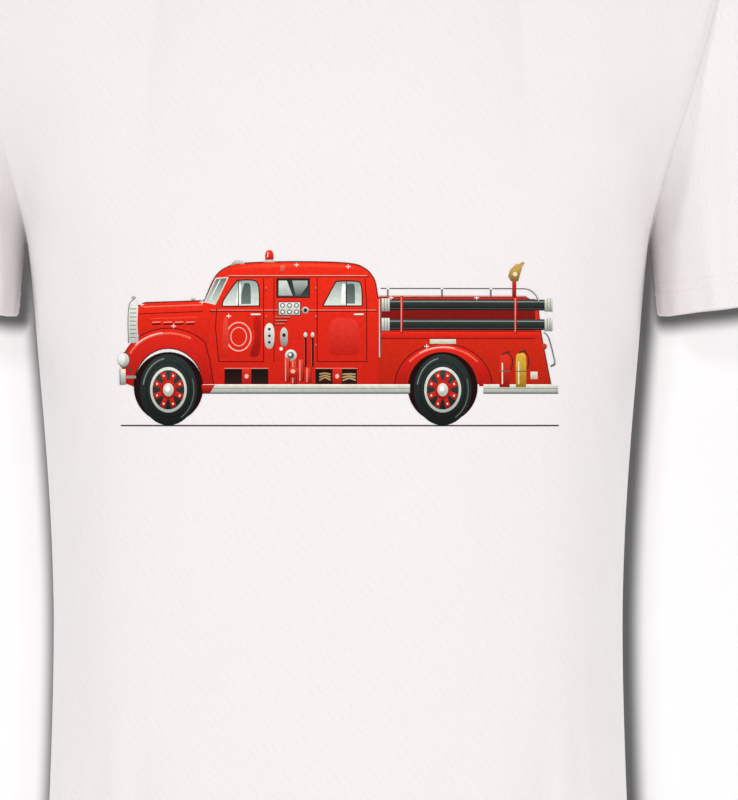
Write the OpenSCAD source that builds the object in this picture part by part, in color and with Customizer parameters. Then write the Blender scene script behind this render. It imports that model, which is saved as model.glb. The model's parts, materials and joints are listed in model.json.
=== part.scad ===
// A short-sleeved crew-neck T-shirt with a printed picture on its chest, in the shape that it has when it is worn.
// The shirt faces -Y and hangs from the wearer's shoulders. The origin is midway between the two high points
// of the neckline, where the shoulder seams meet the collar, and the whole body of the shirt lies below it.

/* [Body] */
// Half of the body's width at the armpits
armpit_half = 174; // [145:1:209]
// Half of the body's width at the waist
waist_half = 158; // [131:1:190]
// Half of the body's width at the bottom hem
hem_half = 180; // [150:1:216]
// How far the armpits are below the neck's high points
armpit_drop = 240; // [200:1:290]
// How far the waist is below the neck's high points
waist_drop = 440; // [360:1:530]
// Length from the neck's high points to the bottom hem
body_length = 700; // [580:5:850]
// Depth of the front, from the side seams forward, at the chest
front_chest = 118; // [95:1:145]
// Depth of the front at the waist
front_waist = 107; // [85:1:130]
// Depth of the back, from the side seams backward, at the shoulder blades
back_chest = 112; // [95:1:145]
// Depth of the back at the waist
back_waist = 96; // [80:1:120]
// Depth of front and back at the bottom hem
hem_depth = 110; // [90:1:140]
// How square the body's cross-section is, where 2 is an ellipse
squareness = 2.6; // [2:0.1:3.4]

/* [Shoulders and neck] */
// Half of the width between the two shoulder points
shoulder_half = 219; // [180:1:265]
// How far the shoulder points are below the neck's high points
shoulder_drop = 50; // [35:1:65]
// Half of the width between the neck's high points
neck_half = 88; // [72:1:106]
// How far the front neckline dips below the neck's high points
front_neck_drop = 84; // [60:1:105]
// How far the back neckline dips below the neck's high points
back_neck_drop = 12; // [8:1:20]
// Width of the ribbed collar band
collar_width = 20; // [14:1:26]

/* [Sleeves] */
// Half of the front-to-back breadth of an armhole
armhole_half = 56; // [46:1:68]
// Length of a sleeve's underside, from the armpit to its opening
underarm_length = 42; // [35:1:90]
// Gap between the body's side and the sleeve's underside, at the sleeve's opening
arm_gap = 12; // [8:1:25]
// Half of a sleeve opening's width, seen from the front
cuff_half_width = 57; // [46:1:70]
// Half of a sleeve opening's breadth, front to back
cuff_half_breadth = 65; // [52:1:78]
// How far the arm stands away from vertical, in degrees
arm_angle = 9.3; // [5:0.1:14]

/* [Fabric] */
// Thickness of the jersey
fabric_t = 0.8; // [0.6:0.1:1.6]
// Height of the folded bottom hem and of the sleeve hems
hem_height = 20; // [14:1:28]
// Width of the tape that covers the back neck seam
tape_width = 12; // [8:1:16]
// Thickness of that tape, and of the blank label below it
tape_t = 0.6; // [0.4:0.1:1]

/* [Printed picture] */
// Length of the printed fire engine, bumper to rear step
print_length = 243; // [205:1:270]
// How far the line that its wheels stand on is below the neck's high points
print_drop = 342; // [330:1:420]
// How far the picture's middle is from the body's centre line
print_offset = 1.5; // [-20:0.5:20]
// Thickness of the ink film
film_t = 0.2; // [0.1:0.05:0.4]

/* [Hidden] */

FRONT = -1;
BACK = 1;
white = [0.93, 0.91, 0.91];
ink_red = [0.86, 0.11, 0.08];

armpit_z = -armpit_drop;
waist_z = -waist_drop;
hem_z = -body_length;
shoulder_z = -shoulder_drop;
chest_z = armpit_z + 10;             // where the chest is fullest
blade_z = armpit_z + 55;             // where the shoulder blades are fullest
shoulder_slope = shoulder_drop / (shoulder_half - neck_half);
print_scale = print_length / 247;    // the drawing's own numbers below are for this length

// A panel is a grid of columns, from one side seam to the other, and rows, from the hem to the top.
side_columns = 17;                   // columns in each half of a panel
neck_columns = 8;                    // those that end at the neckline, and the others end at the shoulder seam
body_rows = 9;                       // rows between the hem fold and the armpits
yoke_rows = 11;                      // rows between the armpits and the neck tape
armpit_row = body_rows + 1;
top_row = armpit_row + yoke_rows + 1;
sleeve_rings = 8;
collar_rings = 3;

// ---- small helpers ----
function mix(a, b, u) = a + (b - a) * u;
function ease(u) = (1 - cos(180 * min(1, max(0, u)))) / 2;
function signed_power(v, p) = sign(v) * pow(abs(v), p);
function unit(v) = v / norm(v);
function flat(rows) = [for (row = rows) each row];

// ---- outline of the body, seen from the front ----
function half_width(z) = z >= waist_z
    ? mix(waist_half, armpit_half, pow((z - waist_z) / (armpit_z - waist_z), 2))
    : mix(waist_half, hem_half, pow((waist_z - z) / (waist_z - hem_z), 1.5));
function up_armhole(z) = min(1, max(0, (z - armpit_z) / (shoulder_z - armpit_z)));
function armhole_x(z) = mix(armpit_half, shoulder_half, pow(sin(90 * up_armhole(z)), 1.5));
function armhole_y(z) = armhole_half * pow(max(0, 1 - pow(abs(2 * up_armhole(z) - 1), 2.4)), 1 / 2.2);
function edge_x(z) = z > armpit_z ? armhole_x(z) : half_width(z);
// The line of the shoulder seams, which is rounded across the neck, where there is no seam.
function shoulder_line(x) = abs(x) > neck_half ? -(abs(x) - neck_half) * shoulder_slope
    : (neck_half * neck_half - x * x) / (2 * neck_half) * shoulder_slope;

// ---- depth of the body: how far the cloth stands before or behind the side seams ----
function fullest(face) = face == FRONT ? front_chest : back_chest;
function fullest_z(face) = face == FRONT ? chest_z : blade_z;
function slimmest(face) = face == FRONT ? front_waist : back_waist;
function centre_depth(face, z) = z >= waist_z
    ? mix(slimmest(face), fullest(face), ease((z - waist_z) / (fullest_z(face) - waist_z)))
    : mix(slimmest(face), hem_depth, ease((waist_z - z) / (waist_z - hem_z)));
// The cloth turns over the shoulder: 0 on the shoulder seam, 1 from the fullest part down.
function over_shoulder(face, x, z) =
    let (round_by = face == FRONT ? 1.9 : 1.8, top = shoulder_line(x),
         u = min(1, max(0, (top - z) / (top - fullest_z(face)))))
    pow(max(0, 1 - pow(1 - u, round_by)), 1 / round_by);
function cloth_depth(face, x, z) =
    let (full = centre_depth(face, z) * over_shoulder(face, x, z),
         edge = z > armpit_z ? armhole_y(z) : 0,
         across = min(1, abs(x) / edge_x(z)),
         turn = mix(squareness, 1.5, ease(2 * up_armhole(z))))
    edge + max(0, full - edge) * pow(max(0, 1 - pow(across, squareness)), 1 / turn);

// ---- the panels' grid, in the plane of the front view ----
function round_neck(c) = 90 * (1 - pow(1 - c / neck_columns, 1.35));   // closer columns near the shoulder seams
function top_edge(face, column) =
    let (c = abs(column), drop = face == FRONT ? front_neck_drop : back_neck_drop,
         x = c <= neck_columns ? neck_half * sin(round_neck(c))
             : mix(neck_half, shoulder_half, (c - neck_columns) / (side_columns - neck_columns)))
    [sign(column) * x, c <= neck_columns ? -drop * pow(cos(round_neck(c)), 1.25) : shoulder_line(x)];
function spread(column) = signed_power(sin(90 * column / side_columns), 2 / squareness);
tape_share = tape_width / (armpit_drop - back_neck_drop);
function yoke_share(row) = row > top_row - 1 ? mix(1 - tape_share, 1, row - top_row + 1)
    : (row - armpit_row) / yoke_rows * (1 - tape_share);
function yoke_side(share, side) =
    let (z = mix(armpit_z, shoulder_z, share)) [side * armhole_x(z), z];
// Above the armpits the grid is a Coons patch between the armpit row, the two armholes and the top edge.
function yoke_point(face, column, row) =
    let (v = yoke_share(row), u = (column / side_columns + 1) / 2,
         low = [armpit_half * spread(column), armpit_z], high = top_edge(face, column),
         corners = mix(mix([-armpit_half, armpit_z], [armpit_half, armpit_z], u),
                       mix([-shoulder_half, shoulder_z], [shoulder_half, shoulder_z], u), v))
    mix(low, high, v) + mix(yoke_side(v, -1), yoke_side(v, 1), u) - corners;
function body_z(row) = row <= 1 ? hem_z + hem_height * row : mix(hem_z + hem_height, armpit_z, (row - 1) / body_rows);
function panel_point(face, column, row) = row <= armpit_row
    ? let (z = body_z(row)) [half_width(z) * spread(column),
        face * centre_depth(face, z) * pow(cos(90 * column / side_columns), 2 / squareness), z]
    : let (p = yoke_point(face, column, row)) [p[0], face * cloth_depth(face, p[0], p[1]), p[1]];

// ---- which way is inward, so that pieces sewn together share their edges ----
function armhole_inward(p) = unit([0, -p[1] / pow(armhole_half, 2),
    ((armpit_z + shoulder_z) / 2 - p[2]) / pow((shoulder_z - armpit_z) / 2, 2)]);
function panel_inward(face, column, row) =
    abs(column) == side_columns && row < armpit_row ? [-sign(column), 0, 0]
    : row == 0 ? let (v = panel_inward(face, column, 0.5)) unit([v[0], v[1], 0])
    : row == top_row && abs(column) >= neck_columns ? [0, 0, -1]
    : abs(column) == side_columns ? armhole_inward(panel_point(face, column, row))
    : let (c = min(side_columns - 0.5, max(0.5 - side_columns, column)), r = min(top_row - 0.25, max(0.25, row)),
           across = panel_point(face, c + 0.5, r) - panel_point(face, c - 0.5, r),
           up = panel_point(face, c, r + 0.25) - panel_point(face, c, r - 0.25))
      face * unit(cross(across, up));
function panel_layer(face, column, row, depth) =
    panel_point(face, column, row) + panel_inward(face, column, row) * depth;

// ---- closed solids between an outer and an inner grid of points ----
// A grid's points are in rows of n. An open grid has its two ends walled, and a ring is joined round.
// Seen from outside, the columns run to the right and the rows upward, and flip is for those that run to the left.
function walls(n, rows, ring) =
    let (k = n * rows, steps = ring ? n : n - 1, next = [for (i = [0:n - 1]) (i + 1) % n])
    concat(
        flat([for (j = [0:rows - 2]) flat([for (i = [0:steps - 1])
            let (a = j * n + i, b = j * n + next[i], c = b + n, d = a + n)
            [[a, d, b], [b, d, c], [a + k, b + k, d + k], [b + k, c + k, d + k]]])]),
        flat([for (i = [0:steps - 1]) let (a = i, b = next[i], c = a + (rows - 1) * n, d = b + (rows - 1) * n)
            [[a, b, a + k], [b, b + k, a + k], [c, c + k, d], [d, c + k, d + k]]]),
        ring ? [] : flat([for (j = [0:rows - 2]) let (a = j * n, b = a + n, c = a + n - 1, d = c + n)
            [[a, a + k, b], [b, a + k, b + k], [c, d, c + k], [d, d + k, c + k]]]));
module cloth(outer, inner, ring = false, flip = false) {
    faces = walls(len(outer[0]), len(outer), ring);
    polyhedron(points = concat(flat(outer), flat(inner)),
               faces = flip ? [for (f = faces) [f[2], f[1], f[0]]] : faces, convexity = 8);
}
// A layer of a panel between two depths below its outer surface, as many columns wide on either side of its middle.
module panel(face, columns, rows, depths) {
    grids = [for (depth = depths) [for (j = [rows[0]:rows[1]])
        [for (i = [-columns:columns]) panel_layer(face, face == FRONT ? i : -i, j, depth)]]];
    cloth(grids[0], grids[1]);
}

// The front is one cut of cloth, and so is the back, but each is made in two parts that meet at the armpits' height.
module upper_part(face) {
    color(white) panel(face, side_columns, [armpit_row, top_row], [0, fabric_t]);
}
module lower_part(face) {
    color(white) panel(face, side_columns, [0, armpit_row], [0, fabric_t]);
}

// The folded part of the hem lies inside the two panels, all the way round.
function hem_ring(row, depth) = concat(
    [for (i = [-side_columns:side_columns - 1]) panel_layer(FRONT, i, row, depth)],
    [for (i = [-side_columns:side_columns - 1]) panel_layer(BACK, -i, row, depth)]);
module bottom_hem() {
    color(white) cloth([for (j = [0:1]) hem_ring(j, fabric_t)], [for (j = [0:1]) hem_ring(j, 2 * fabric_t)],
                       ring = true);
}

// ---- sleeves: from the armhole to a slanting oval opening, bulging over the shoulder ----
arm_down = [sin(arm_angle), 0, -cos(arm_angle)];
arm_out = [cos(arm_angle), 0, sin(arm_angle)];
armhole_run = unit([shoulder_half - armpit_half, 0, shoulder_z - armpit_z]);
armhole_out = [armhole_run[2], 0, -armhole_run[0]];
sleeve_steps = 2 * (top_row - armpit_row);
function sleeve_row(i) = armpit_row + (i <= sleeve_steps / 2 ? i : sleeve_steps - i);
function sleeve_face(i) = i <= sleeve_steps / 2 ? FRONT : BACK;
function round_arm(i) = 180 * (sleeve_face(i) == FRONT ? yoke_share(sleeve_row(i)) : 2 - yoke_share(sleeve_row(i)));
function armhole_point(i) = panel_point(sleeve_face(i), side_columns, sleeve_row(i));
cuff_inner_z = armpit_z - underarm_length;
cuff_centre = [half_width(cuff_inner_z) + arm_gap, 0, cuff_inner_z] + arm_out * cuff_half_width;
function cuff_point(i) = cuff_centre - arm_out * cuff_half_width * cos(round_arm(i))
    - [0, cuff_half_breadth * sin(round_arm(i)), 0];
function sleeve_point(i, ring) =
    let (end = cuff_point(i) - arm_down * hem_height, start = armhole_point(i),
         v = ring / sleeve_rings, top = ease(1 - abs(round_arm(i) - 180) / 180),
         reach = norm(end - start),
         leave = armhole_out * reach * mix(0.25, 1.05, top), arrive = arm_down * reach * mix(0.9, 1.1, top))
    ring > sleeve_rings ? cuff_point(i)
    : start * (2 * v * v * v - 3 * v * v + 1) + leave * (v * v * v - 2 * v * v + v)
      + end * (3 * v * v - 2 * v * v * v) + arrive * (v * v * v - v * v);
function sleeve_inward(i, ring) =
    ring == 0 ? armhole_inward(armhole_point(i))
    : let (last = sleeve_steps, r = min(ring, sleeve_rings),
           across = sleeve_point((i + 1) % last, ring) - sleeve_point((i + last - 1) % last, ring),
           down = sleeve_point(i, r + 0.2) - sleeve_point(i, r - 0.2))
      ring > sleeve_rings || r == sleeve_rings ? unit(cross(across, arm_down)) : unit(cross(across, down));
function sleeve_layer(ring, depth) =
    [for (i = [0:sleeve_steps - 1]) sleeve_point(i, ring) + sleeve_inward(i, ring) * depth];
module sleeve() {
    rings = [0:sleeve_rings + 1];
    color(white) cloth([for (r = rings) sleeve_layer(r, 0)], [for (r = rings) sleeve_layer(r, fabric_t)],
                       ring = true, flip = true);
}
module sleeve_hem() {
    rings = [sleeve_rings:sleeve_rings + 1];
    color(white) cloth([for (r = rings) sleeve_layer(r, fabric_t)], [for (r = rings) sleeve_layer(r, 2 * fabric_t)],
                       ring = true, flip = true);
}

// ---- collar: a ribbed band from the neckline up the neck ----
collar_steps = 4 * neck_columns;
function collar_face(i) = i < 2 * neck_columns ? FRONT : BACK;
function collar_column(i) = i < 2 * neck_columns ? i - neck_columns : 3 * neck_columns - i;
function neckline_point(i) = panel_point(collar_face(i), collar_column(i), top_row);
function neckline_inward(i) = panel_inward(collar_face(i), collar_column(i), top_row);
function collar_point(i, ring) =
    let (p = neckline_point(i), share = ring / collar_rings,
         rise = 49 - 9 * cos(360 * (i - neck_columns) / collar_steps),   // steepest at the nape
         inward = unit([-p[0], -p[1] - neck_half / 4, 0]))
    p + collar_width * share * (inward * cos(rise) + [0, 0, sin(rise)]);
function collar_inward(i, ring) =
    let (n = collar_steps, across = collar_point((i + 1) % n, ring) - collar_point((i + n - 1) % n, ring),
         up = collar_point(i, ring + 0.2) - collar_point(i, ring - 0.2))
    unit(cross(up, across));
function collar_layer(ring, depth) = [for (i = [0:collar_steps - 1]) collar_point(i, ring)
    + (ring == 0 ? neckline_inward(i) * min(depth, fabric_t) : collar_inward(i, ring) * depth)];
module collar() {
    rings = [0:collar_rings];
    color(white) cloth([for (r = rings) collar_layer(r, 0)], [for (r = rings) collar_layer(r, 2 * fabric_t)],
                       ring = true);
}

// ---- inside the back of the neck ----
module neck_tape() {
    color(white) panel(BACK, neck_columns, [top_row - 1, top_row], [fabric_t, fabric_t + tape_t]);
}
module neck_label() {
    color("white") panel(BACK, 1, [top_row - 2, top_row], [fabric_t + tape_t, fabric_t + 2 * tape_t]);
}

// ---- the picture: a film on the front panel in the outline of a fire engine, seen from its left side ----
// Its outline is drawn from the bumper's end, above the line that the wheels stand on.
module ellipse_at(x, z, half_length, half_height) {
    translate([x, z]) scale([half_length, half_height]) circle(r = 1, $fn = 36);
}
module engine_outline() {
    polygon([[4, 30], [4, 70], [10, 71], [47, 71], [54, 84], [66, 92], [130, 92], [145, 74],
             [230, 74], [240, 62], [235, 54], [246, 24], [246, 18], [20, 18]]);      // bonnet, cab and body
    translate([82, 90]) square([5, 9]);                                             // beacon
    translate([219, 72]) square([4, 18]);                                           // nozzle on its post
    ellipse_at(27, 34, 26, 21);                                                      // wings
    ellipse_at(181, 26, 27, 21);
    ellipse_at(27, 20.5, 16, 20.5);                                                  // wheels
    ellipse_at(181, 20.5, 16, 20.5);
    translate([0, 24]) square([12, 9]);                                              // bumper
}
module printed_picture() {
    color(ink_red) intersection() {
        panel(FRONT, side_columns, [armpit_row - 5, armpit_row + 4], [-film_t, 0]);
        translate([print_offset - print_length / 2, 0, -print_drop]) rotate([90, 0, 0]) scale(print_scale)
            linear_extrude(2 * front_chest) engine_outline();
    }
}

upper_part(FRONT);  // front_upper
lower_part(FRONT);  // front_lower
upper_part(BACK);  // back_upper
lower_part(BACK);  // back_lower
sleeve();  // left_sleeve
mirror([1, 0, 0]) sleeve();  // right_sleeve
sleeve_hem();  // left_sleeve_hem
mirror([1, 0, 0]) sleeve_hem();  // right_sleeve_hem
bottom_hem();
collar();
neck_tape();
neck_label();
printed_picture();
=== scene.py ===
# %% [markdown]
# # A printed T-shirt
# This file dresses a plain CAD model of a T-shirt. The shirt is shown as it is when somebody wears it, with
# nobody inside: the shoulders carry it, the cloth falls round the body, and the collar and sleeves stand open.
# Each step first says what the piece is on a real shirt and how it could be made in Blender, and then makes it.

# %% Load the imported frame
import json, math
import bpy
import numpy as np
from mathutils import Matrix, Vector
from mathutils.geometry import delaunay_2d_cdt
from mathutils.bvhtree import BVHTree

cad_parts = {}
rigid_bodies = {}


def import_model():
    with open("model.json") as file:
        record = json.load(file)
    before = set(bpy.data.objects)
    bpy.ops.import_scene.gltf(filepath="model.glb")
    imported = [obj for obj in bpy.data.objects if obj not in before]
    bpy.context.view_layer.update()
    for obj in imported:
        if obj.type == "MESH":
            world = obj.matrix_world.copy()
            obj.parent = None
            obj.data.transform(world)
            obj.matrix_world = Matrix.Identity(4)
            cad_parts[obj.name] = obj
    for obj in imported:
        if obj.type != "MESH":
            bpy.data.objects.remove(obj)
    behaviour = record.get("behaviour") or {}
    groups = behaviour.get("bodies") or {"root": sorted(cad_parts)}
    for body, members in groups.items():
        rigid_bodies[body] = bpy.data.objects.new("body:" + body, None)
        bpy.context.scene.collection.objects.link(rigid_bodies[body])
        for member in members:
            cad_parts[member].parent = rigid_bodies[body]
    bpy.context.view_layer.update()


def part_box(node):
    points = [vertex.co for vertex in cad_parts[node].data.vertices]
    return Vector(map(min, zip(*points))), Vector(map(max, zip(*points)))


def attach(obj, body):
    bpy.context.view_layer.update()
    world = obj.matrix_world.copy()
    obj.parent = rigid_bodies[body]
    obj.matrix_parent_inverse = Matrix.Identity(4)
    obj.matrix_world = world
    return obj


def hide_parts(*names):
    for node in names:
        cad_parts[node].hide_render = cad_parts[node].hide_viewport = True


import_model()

# %% [markdown]
# ## The shirt's sizes
# A pattern cutter starts from a few lengths: chest, waist, length, shoulder, neck and armhole. The large ones are
# measured here on the CAD nodes, so that the cloth always fits the model. The rest are the same numbers that the
# CAD model was made with. Everything is in metres, the front faces -Y, and the origin is between the two high
# points of the neckline.

# %% Sizes, measured on the CAD nodes where they can be
upper_low, upper_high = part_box("front_upper")
lower_low, lower_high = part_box("front_lower")
shoulder_half = upper_high[0]  # shoulder point to the centre line
armpit_z = lower_high[2]  # height of the armpits
hem_z = lower_low[2]  # bottom edge
hem_half = lower_high[0]  # half width at the bottom edge
front_chest = -upper_low[1]  # how far the chest stands forward
back_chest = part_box("back_upper")[1][1]  # how far the shoulder blades stand back
armpit_half, waist_half, waist_z = 0.174, 0.158, -0.440
front_waist, back_waist, hem_depth, squareness = 0.107, 0.096, 0.110, 2.6
neck_half, shoulder_z, front_neck_drop, back_neck_drop = 0.088, -0.050, 0.084, 0.012
armhole_half, underarm, arm_gap, arm_angle = 0.056, 0.042, 0.012, math.radians(9.3)
cuff_half_width, cuff_half_breadth = 0.057, 0.065
fabric_t, hem_height, collar_width, tape_width = 0.0008, 0.020, 0.020, 0.012
chest_z, blade_z = armpit_z + 0.010, armpit_z + 0.055
shoulder_slope = -shoulder_z / (shoulder_half - neck_half)
FRONT, BACK = -1, 1
print(f"body {2 * armpit_half:.3f} wide, {-hem_z:.3f} long, chest {front_chest + back_chest:.3f} deep")

# %% [markdown]
# ## The shape of the cloth
# A worn shirt could be sculpted by hand, or draped from flat pieces over a mannequin. Its shape follows simple
# rules, though: every level cut through the body is a squared oval, the cloth rounds over the shoulders, and the
# armhole is a slanting loop. So the start is made by formula, as in the CAD model, on a fine and even grid. The
# cloth solver gives it its folds afterwards.

# %% The body's outline and depth, as functions of height
def mix(a, b, u):
    return a + (b - a) * u


def ease(u):
    return (1 - np.cos(np.pi * np.clip(u, 0, 1))) / 2


def half_width(z):
    up = np.clip((z - waist_z) / (armpit_z - waist_z), 0, None) ** 2
    down = np.clip((waist_z - z) / (waist_z - hem_z), 0, None) ** 1.5
    return waist_half + (armpit_half - waist_half) * up + (hem_half - waist_half) * down


def up_armhole(z):
    return np.clip((z - armpit_z) / (shoulder_z - armpit_z), 0, 1)


def armhole_x(z):
    return mix(armpit_half, shoulder_half, np.sin(np.pi / 2 * up_armhole(z)) ** 1.5)


def armhole_y(z):
    return armhole_half * np.clip(1 - np.abs(2 * up_armhole(z) - 1) ** 2.4, 0, None) ** (1 / 2.2)


def shoulder_line(x):
    across_neck = (neck_half**2 - x * x) / (2 * neck_half) * shoulder_slope
    return np.where(np.abs(x) > neck_half, -(np.abs(x) - neck_half) * shoulder_slope, across_neck)


def centre_depth(face, z):
    slim, full, at = (front_waist, front_chest, chest_z) if face == FRONT else (back_waist, back_chest, blade_z)
    upper = mix(slim, full, ease((z - waist_z) / (at - waist_z)))
    lower = mix(slim, hem_depth, ease((waist_z - z) / (waist_z - hem_z)))
    return np.where(z >= waist_z, upper, lower)


def cloth_depth(face, x, z):
    """How far the cloth stands before or behind the side seams at one place of the front view."""
    top, power, at = shoulder_line(x), (1.9 if face == FRONT else 1.8), (chest_z if face == FRONT else blade_z)
    u = np.clip((top - z) / (top - at), 0, 1)
    full = centre_depth(face, z) * np.clip(1 - (1 - u) ** power, 0, None) ** (1 / power)
    across = np.clip(np.abs(x) / np.where(z > armpit_z, armhole_x(z), half_width(z)), 0, 1)
    near_seam, levels = across**12, [z + step for step in np.linspace(-0.025, 0.025, 11)]
    edge = mix(np.mean([armhole_y(level) for level in levels], axis=0), armhole_y(z), near_seam)
    turn = mix(squareness, 1.5, ease(2 * up_armhole(z)))
    return edge + np.clip(full - edge, 0, None) * np.clip(1 - across**squareness, 0, None) ** (1 / turn)


print("chest depth in front", round(float(cloth_depth(FRONT, np.array(0.0), np.array(-0.23))), 4))

# %% [markdown]
# ## Even grids
# Cloth needs mesh cells of one size, or it folds more easily in one place than in another. So each level curve is
# first drawn with many points, and then divided again into steps of equal length. Above the armpits the columns
# fan out between the armpit level, the two armholes, and the top edge, which runs from shoulder point to shoulder
# point by way of the neckline.

# %% Grids of the front, the back and the sleeves
HALF, NECK = 40, 19  # columns in half a panel, and those at the neckline
BODY, YOKE, RINGS = 78, 40, 38  # rows below and above the armpits, and a sleeve's rings
FINE = 1201  # points on a curve before it is divided evenly


def run_along(points):
    """The distance of each point of a curve from the first one, along the curve."""
    return np.concatenate([[0], np.cumsum(np.linalg.norm(np.diff(points, axis=0), axis=1))])


def sample(at, run, values):
    """Values of a curve at some distances, column by column."""
    return np.stack([np.interp(at, run, column) for column in values.T], 1)


def even(points, count):
    """count points at equal steps along a curve."""
    run = run_along(points)
    return sample(np.linspace(0, run[-1], count), run, points)


def body_row(face, z):
    across = np.sin(np.linspace(-np.pi / 2, np.pi / 2, FINE))
    x = half_width(z) * np.sign(across) * np.abs(across) ** (2 / squareness)
    z = np.full_like(x, z)
    return even(np.stack([x, face * cloth_depth(face, x, z), z], 1), 2 * HALF + 1)


def top_half(face):
    """Half of the top edge in the front view, from the middle of the neckline out to the shoulder point."""
    drop = front_neck_drop if face == FRONT else back_neck_drop
    angle = np.linspace(0, np.pi / 2, 801)
    x, z = neck_half * np.sin(angle), -drop * np.cos(angle) ** 1.25
    neck = even(np.stack([x, face * cloth_depth(face, x, z), z], 1), NECK + 1)
    x = np.linspace(neck_half, shoulder_half, HALF - NECK + 1)[1:]
    return np.concatenate([neck[:, [0, 2]], np.stack([x, shoulder_line(x)], 1)])


def armhole_side(share):
    """A point of the armhole in the front view, at a share of its length from the armpit to the shoulder."""
    z = armpit_z + (shoulder_z - armpit_z) * (1 - np.cos(np.linspace(0, np.pi, 4001))) / 2
    side = np.stack([armhole_x(z), armhole_y(z), z], 1)
    run = run_along(side)
    return np.array([np.interp(share * run[-1], run, side[:, k]) for k in (0, 2)])


def panel_grid(face):
    """Rows of points from the bottom edge up, each from the -X side seam to the +X one."""
    rows = [body_row(face, z) for z in np.linspace(hem_z, armpit_z, BODY + 1)]
    low, high = rows[-1][:, [0, 2]], top_half(face)
    high = np.concatenate([high[:0:-1] * [-1, 1], high])
    t = np.linspace(-1, 1, 2 * HALF + 1)[:, None]
    turn = np.concatenate([np.sign(t), np.ones_like(t)], 1)
    yoke = [rows[-1]]
    for v in 1 - (1 - np.linspace(0, 1, 12 * YOKE + 1)[1:]) ** 2:  # closest together at the shoulder
        straight = mix(np.array([armpit_half, armpit_z]), np.array([shoulder_half, shoulder_z]), v)
        off = armhole_side(v) - straight
        flat = mix(low, high, v) + np.abs(t) ** 3 * off * turn
        yoke.append(np.stack([flat[:, 0], face * cloth_depth(face, flat[:, 0], flat[:, 1]), flat[:, 1]], 1))
    yoke = np.array(yoke)
    yoke = np.stack([even(yoke[:, k], YOKE + 1) for k in range(yoke.shape[1])], 1)
    return np.concatenate([np.array(rows), yoke[1:]])


front_start, back_start = panel_grid(FRONT), panel_grid(BACK)
arm_down = np.array([math.sin(arm_angle), 0, -math.cos(arm_angle)])
arm_out = np.array([math.cos(arm_angle), 0, math.sin(arm_angle)])
cuff_z = armpit_z - underarm
cuff_centre = np.array([float(half_width(np.array(cuff_z))) + arm_gap, 0, cuff_z]) + arm_out * cuff_half_width


def sleeve_grid():
    """The +X sleeve: rings from the armhole to the opening, each from the armpit up the front and down the back."""
    hole = np.concatenate([front_start[BODY:, -1], back_start[BODY:-1, -1][::-1]])[:-1]
    turn = np.linspace(0, 2 * np.pi, 2 * YOKE + 1)[:-1, None]
    ahead = np.array([0, cuff_half_breadth, 0])
    cuff = cuff_centre - arm_out * cuff_half_width * np.cos(turn) - ahead * np.sin(turn)
    high = ease(1 - np.abs(turn / np.pi - 1))
    from_seam = np.minimum(turn, 2 * np.pi - turn)[:, 0]
    cuff[:, 2] += 0.0015 * np.exp(-((from_seam / 0.3) ** 2))  # the underarm seam pulls it up
    run = np.array([shoulder_half - armpit_half, 0, shoulder_z - armpit_z])
    out = np.array([run[2], 0, -run[0]]) / np.linalg.norm(run)
    reach = np.linalg.norm(cuff - hole, axis=1, keepdims=True)
    leave, arrive = out * reach * mix(0.25, 1.05, high), arm_down * reach * mix(0.9, 1.1, high)
    v = np.linspace(0, 1, 201)[:, None, None]
    paths = (hole * (2 * v**3 - 3 * v**2 + 1) + leave * (v**3 - 2 * v**2 + v)
             + cuff * (3 * v**2 - 2 * v**3) + arrive * (v**3 - v**2))
    return np.stack([even(paths[:, k], RINGS + 1) for k in range(paths.shape[1])], 1)


right_start = sleeve_grid()
left_start = right_start * [-1, 1, 1]
print("grid points", front_start.shape, back_start.shape, right_start.shape)

# %% [markdown]
# ## Sewing the pieces together
# Seams join the four pieces into one cloth. In the mesh that means that two pieces share the points of their
# common edge, so each grid becomes a table of point numbers, and the edge numbers are handed on from one piece to
# the next.

# %% One welded cloth
points = []


def number(grid, shared=None):
    """Numbers for a grid's points. shared gives the numbers of points that another piece already has."""
    ids = np.full(grid.shape[:2], -1) if shared is None else shared.copy()
    for place in np.argwhere(ids < 0):
        ids[tuple(place)] = len(points)
        points.append(grid[tuple(place)])
    return ids


def quads(ids, ring=False, turn=False):
    """The four-sided cells of a grid of numbers. A ring's last column is followed by its first one."""
    a, d = ids[:-1], ids[1:]
    if ring:
        b, c = np.roll(a, -1, 1), np.roll(d, -1, 1)
    else:
        a, b, c, d = a[:, :-1], a[:, 1:], d[:, 1:], d[:, :-1]
    return np.stack([d, c, b, a] if turn else [a, b, c, d], -1).reshape(-1, 4)


front_ids = number(front_start)
shared = np.full(front_ids.shape, -1)
for place in np.s_[: BODY + 1, 0], np.s_[: BODY + 1, -1], np.s_[-1, : HALF - NECK + 1], np.s_[-1, HALF + NECK:]:
    shared[place] = front_ids[place]  # the side seams and the shoulder seams
back_ids = number(back_start, shared)


def sleeve_ids(start, column):
    shared = np.full(start.shape[:2], -1)
    shared[0] = np.concatenate([front_ids[BODY:, column], back_ids[BODY:-1, column][::-1]])[:-1]
    return number(start, shared)


right_ids, left_ids = sleeve_ids(right_start, -1), sleeve_ids(left_start, 0)
start = np.array(points)
cells = np.concatenate([quads(front_ids), quads(back_ids, turn=True),
                        quads(right_ids, ring=True, turn=True), quads(left_ids, ring=True)])
print("one cloth of", len(start), "points and", len(cells), "cells")

# %% [markdown]
# ## Letting the cloth hang
# A shirt that was only computed looks like plastic, because real cloth sags between the places that carry it and
# buckles where there is too much of it. Blender's cloth solver finds those folds. Under the cloth goes a form with
# the wearer's shape, a little smaller than the shirt: close at the shoulders and shoulder blades, which carry the
# shirt, and loose at the waist, the hips and the arms. The cloth is cut slightly larger than the form's own skin,
# as a real shirt is, and soft pins keep it near its start. The chest with the picture stays calm.

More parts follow.
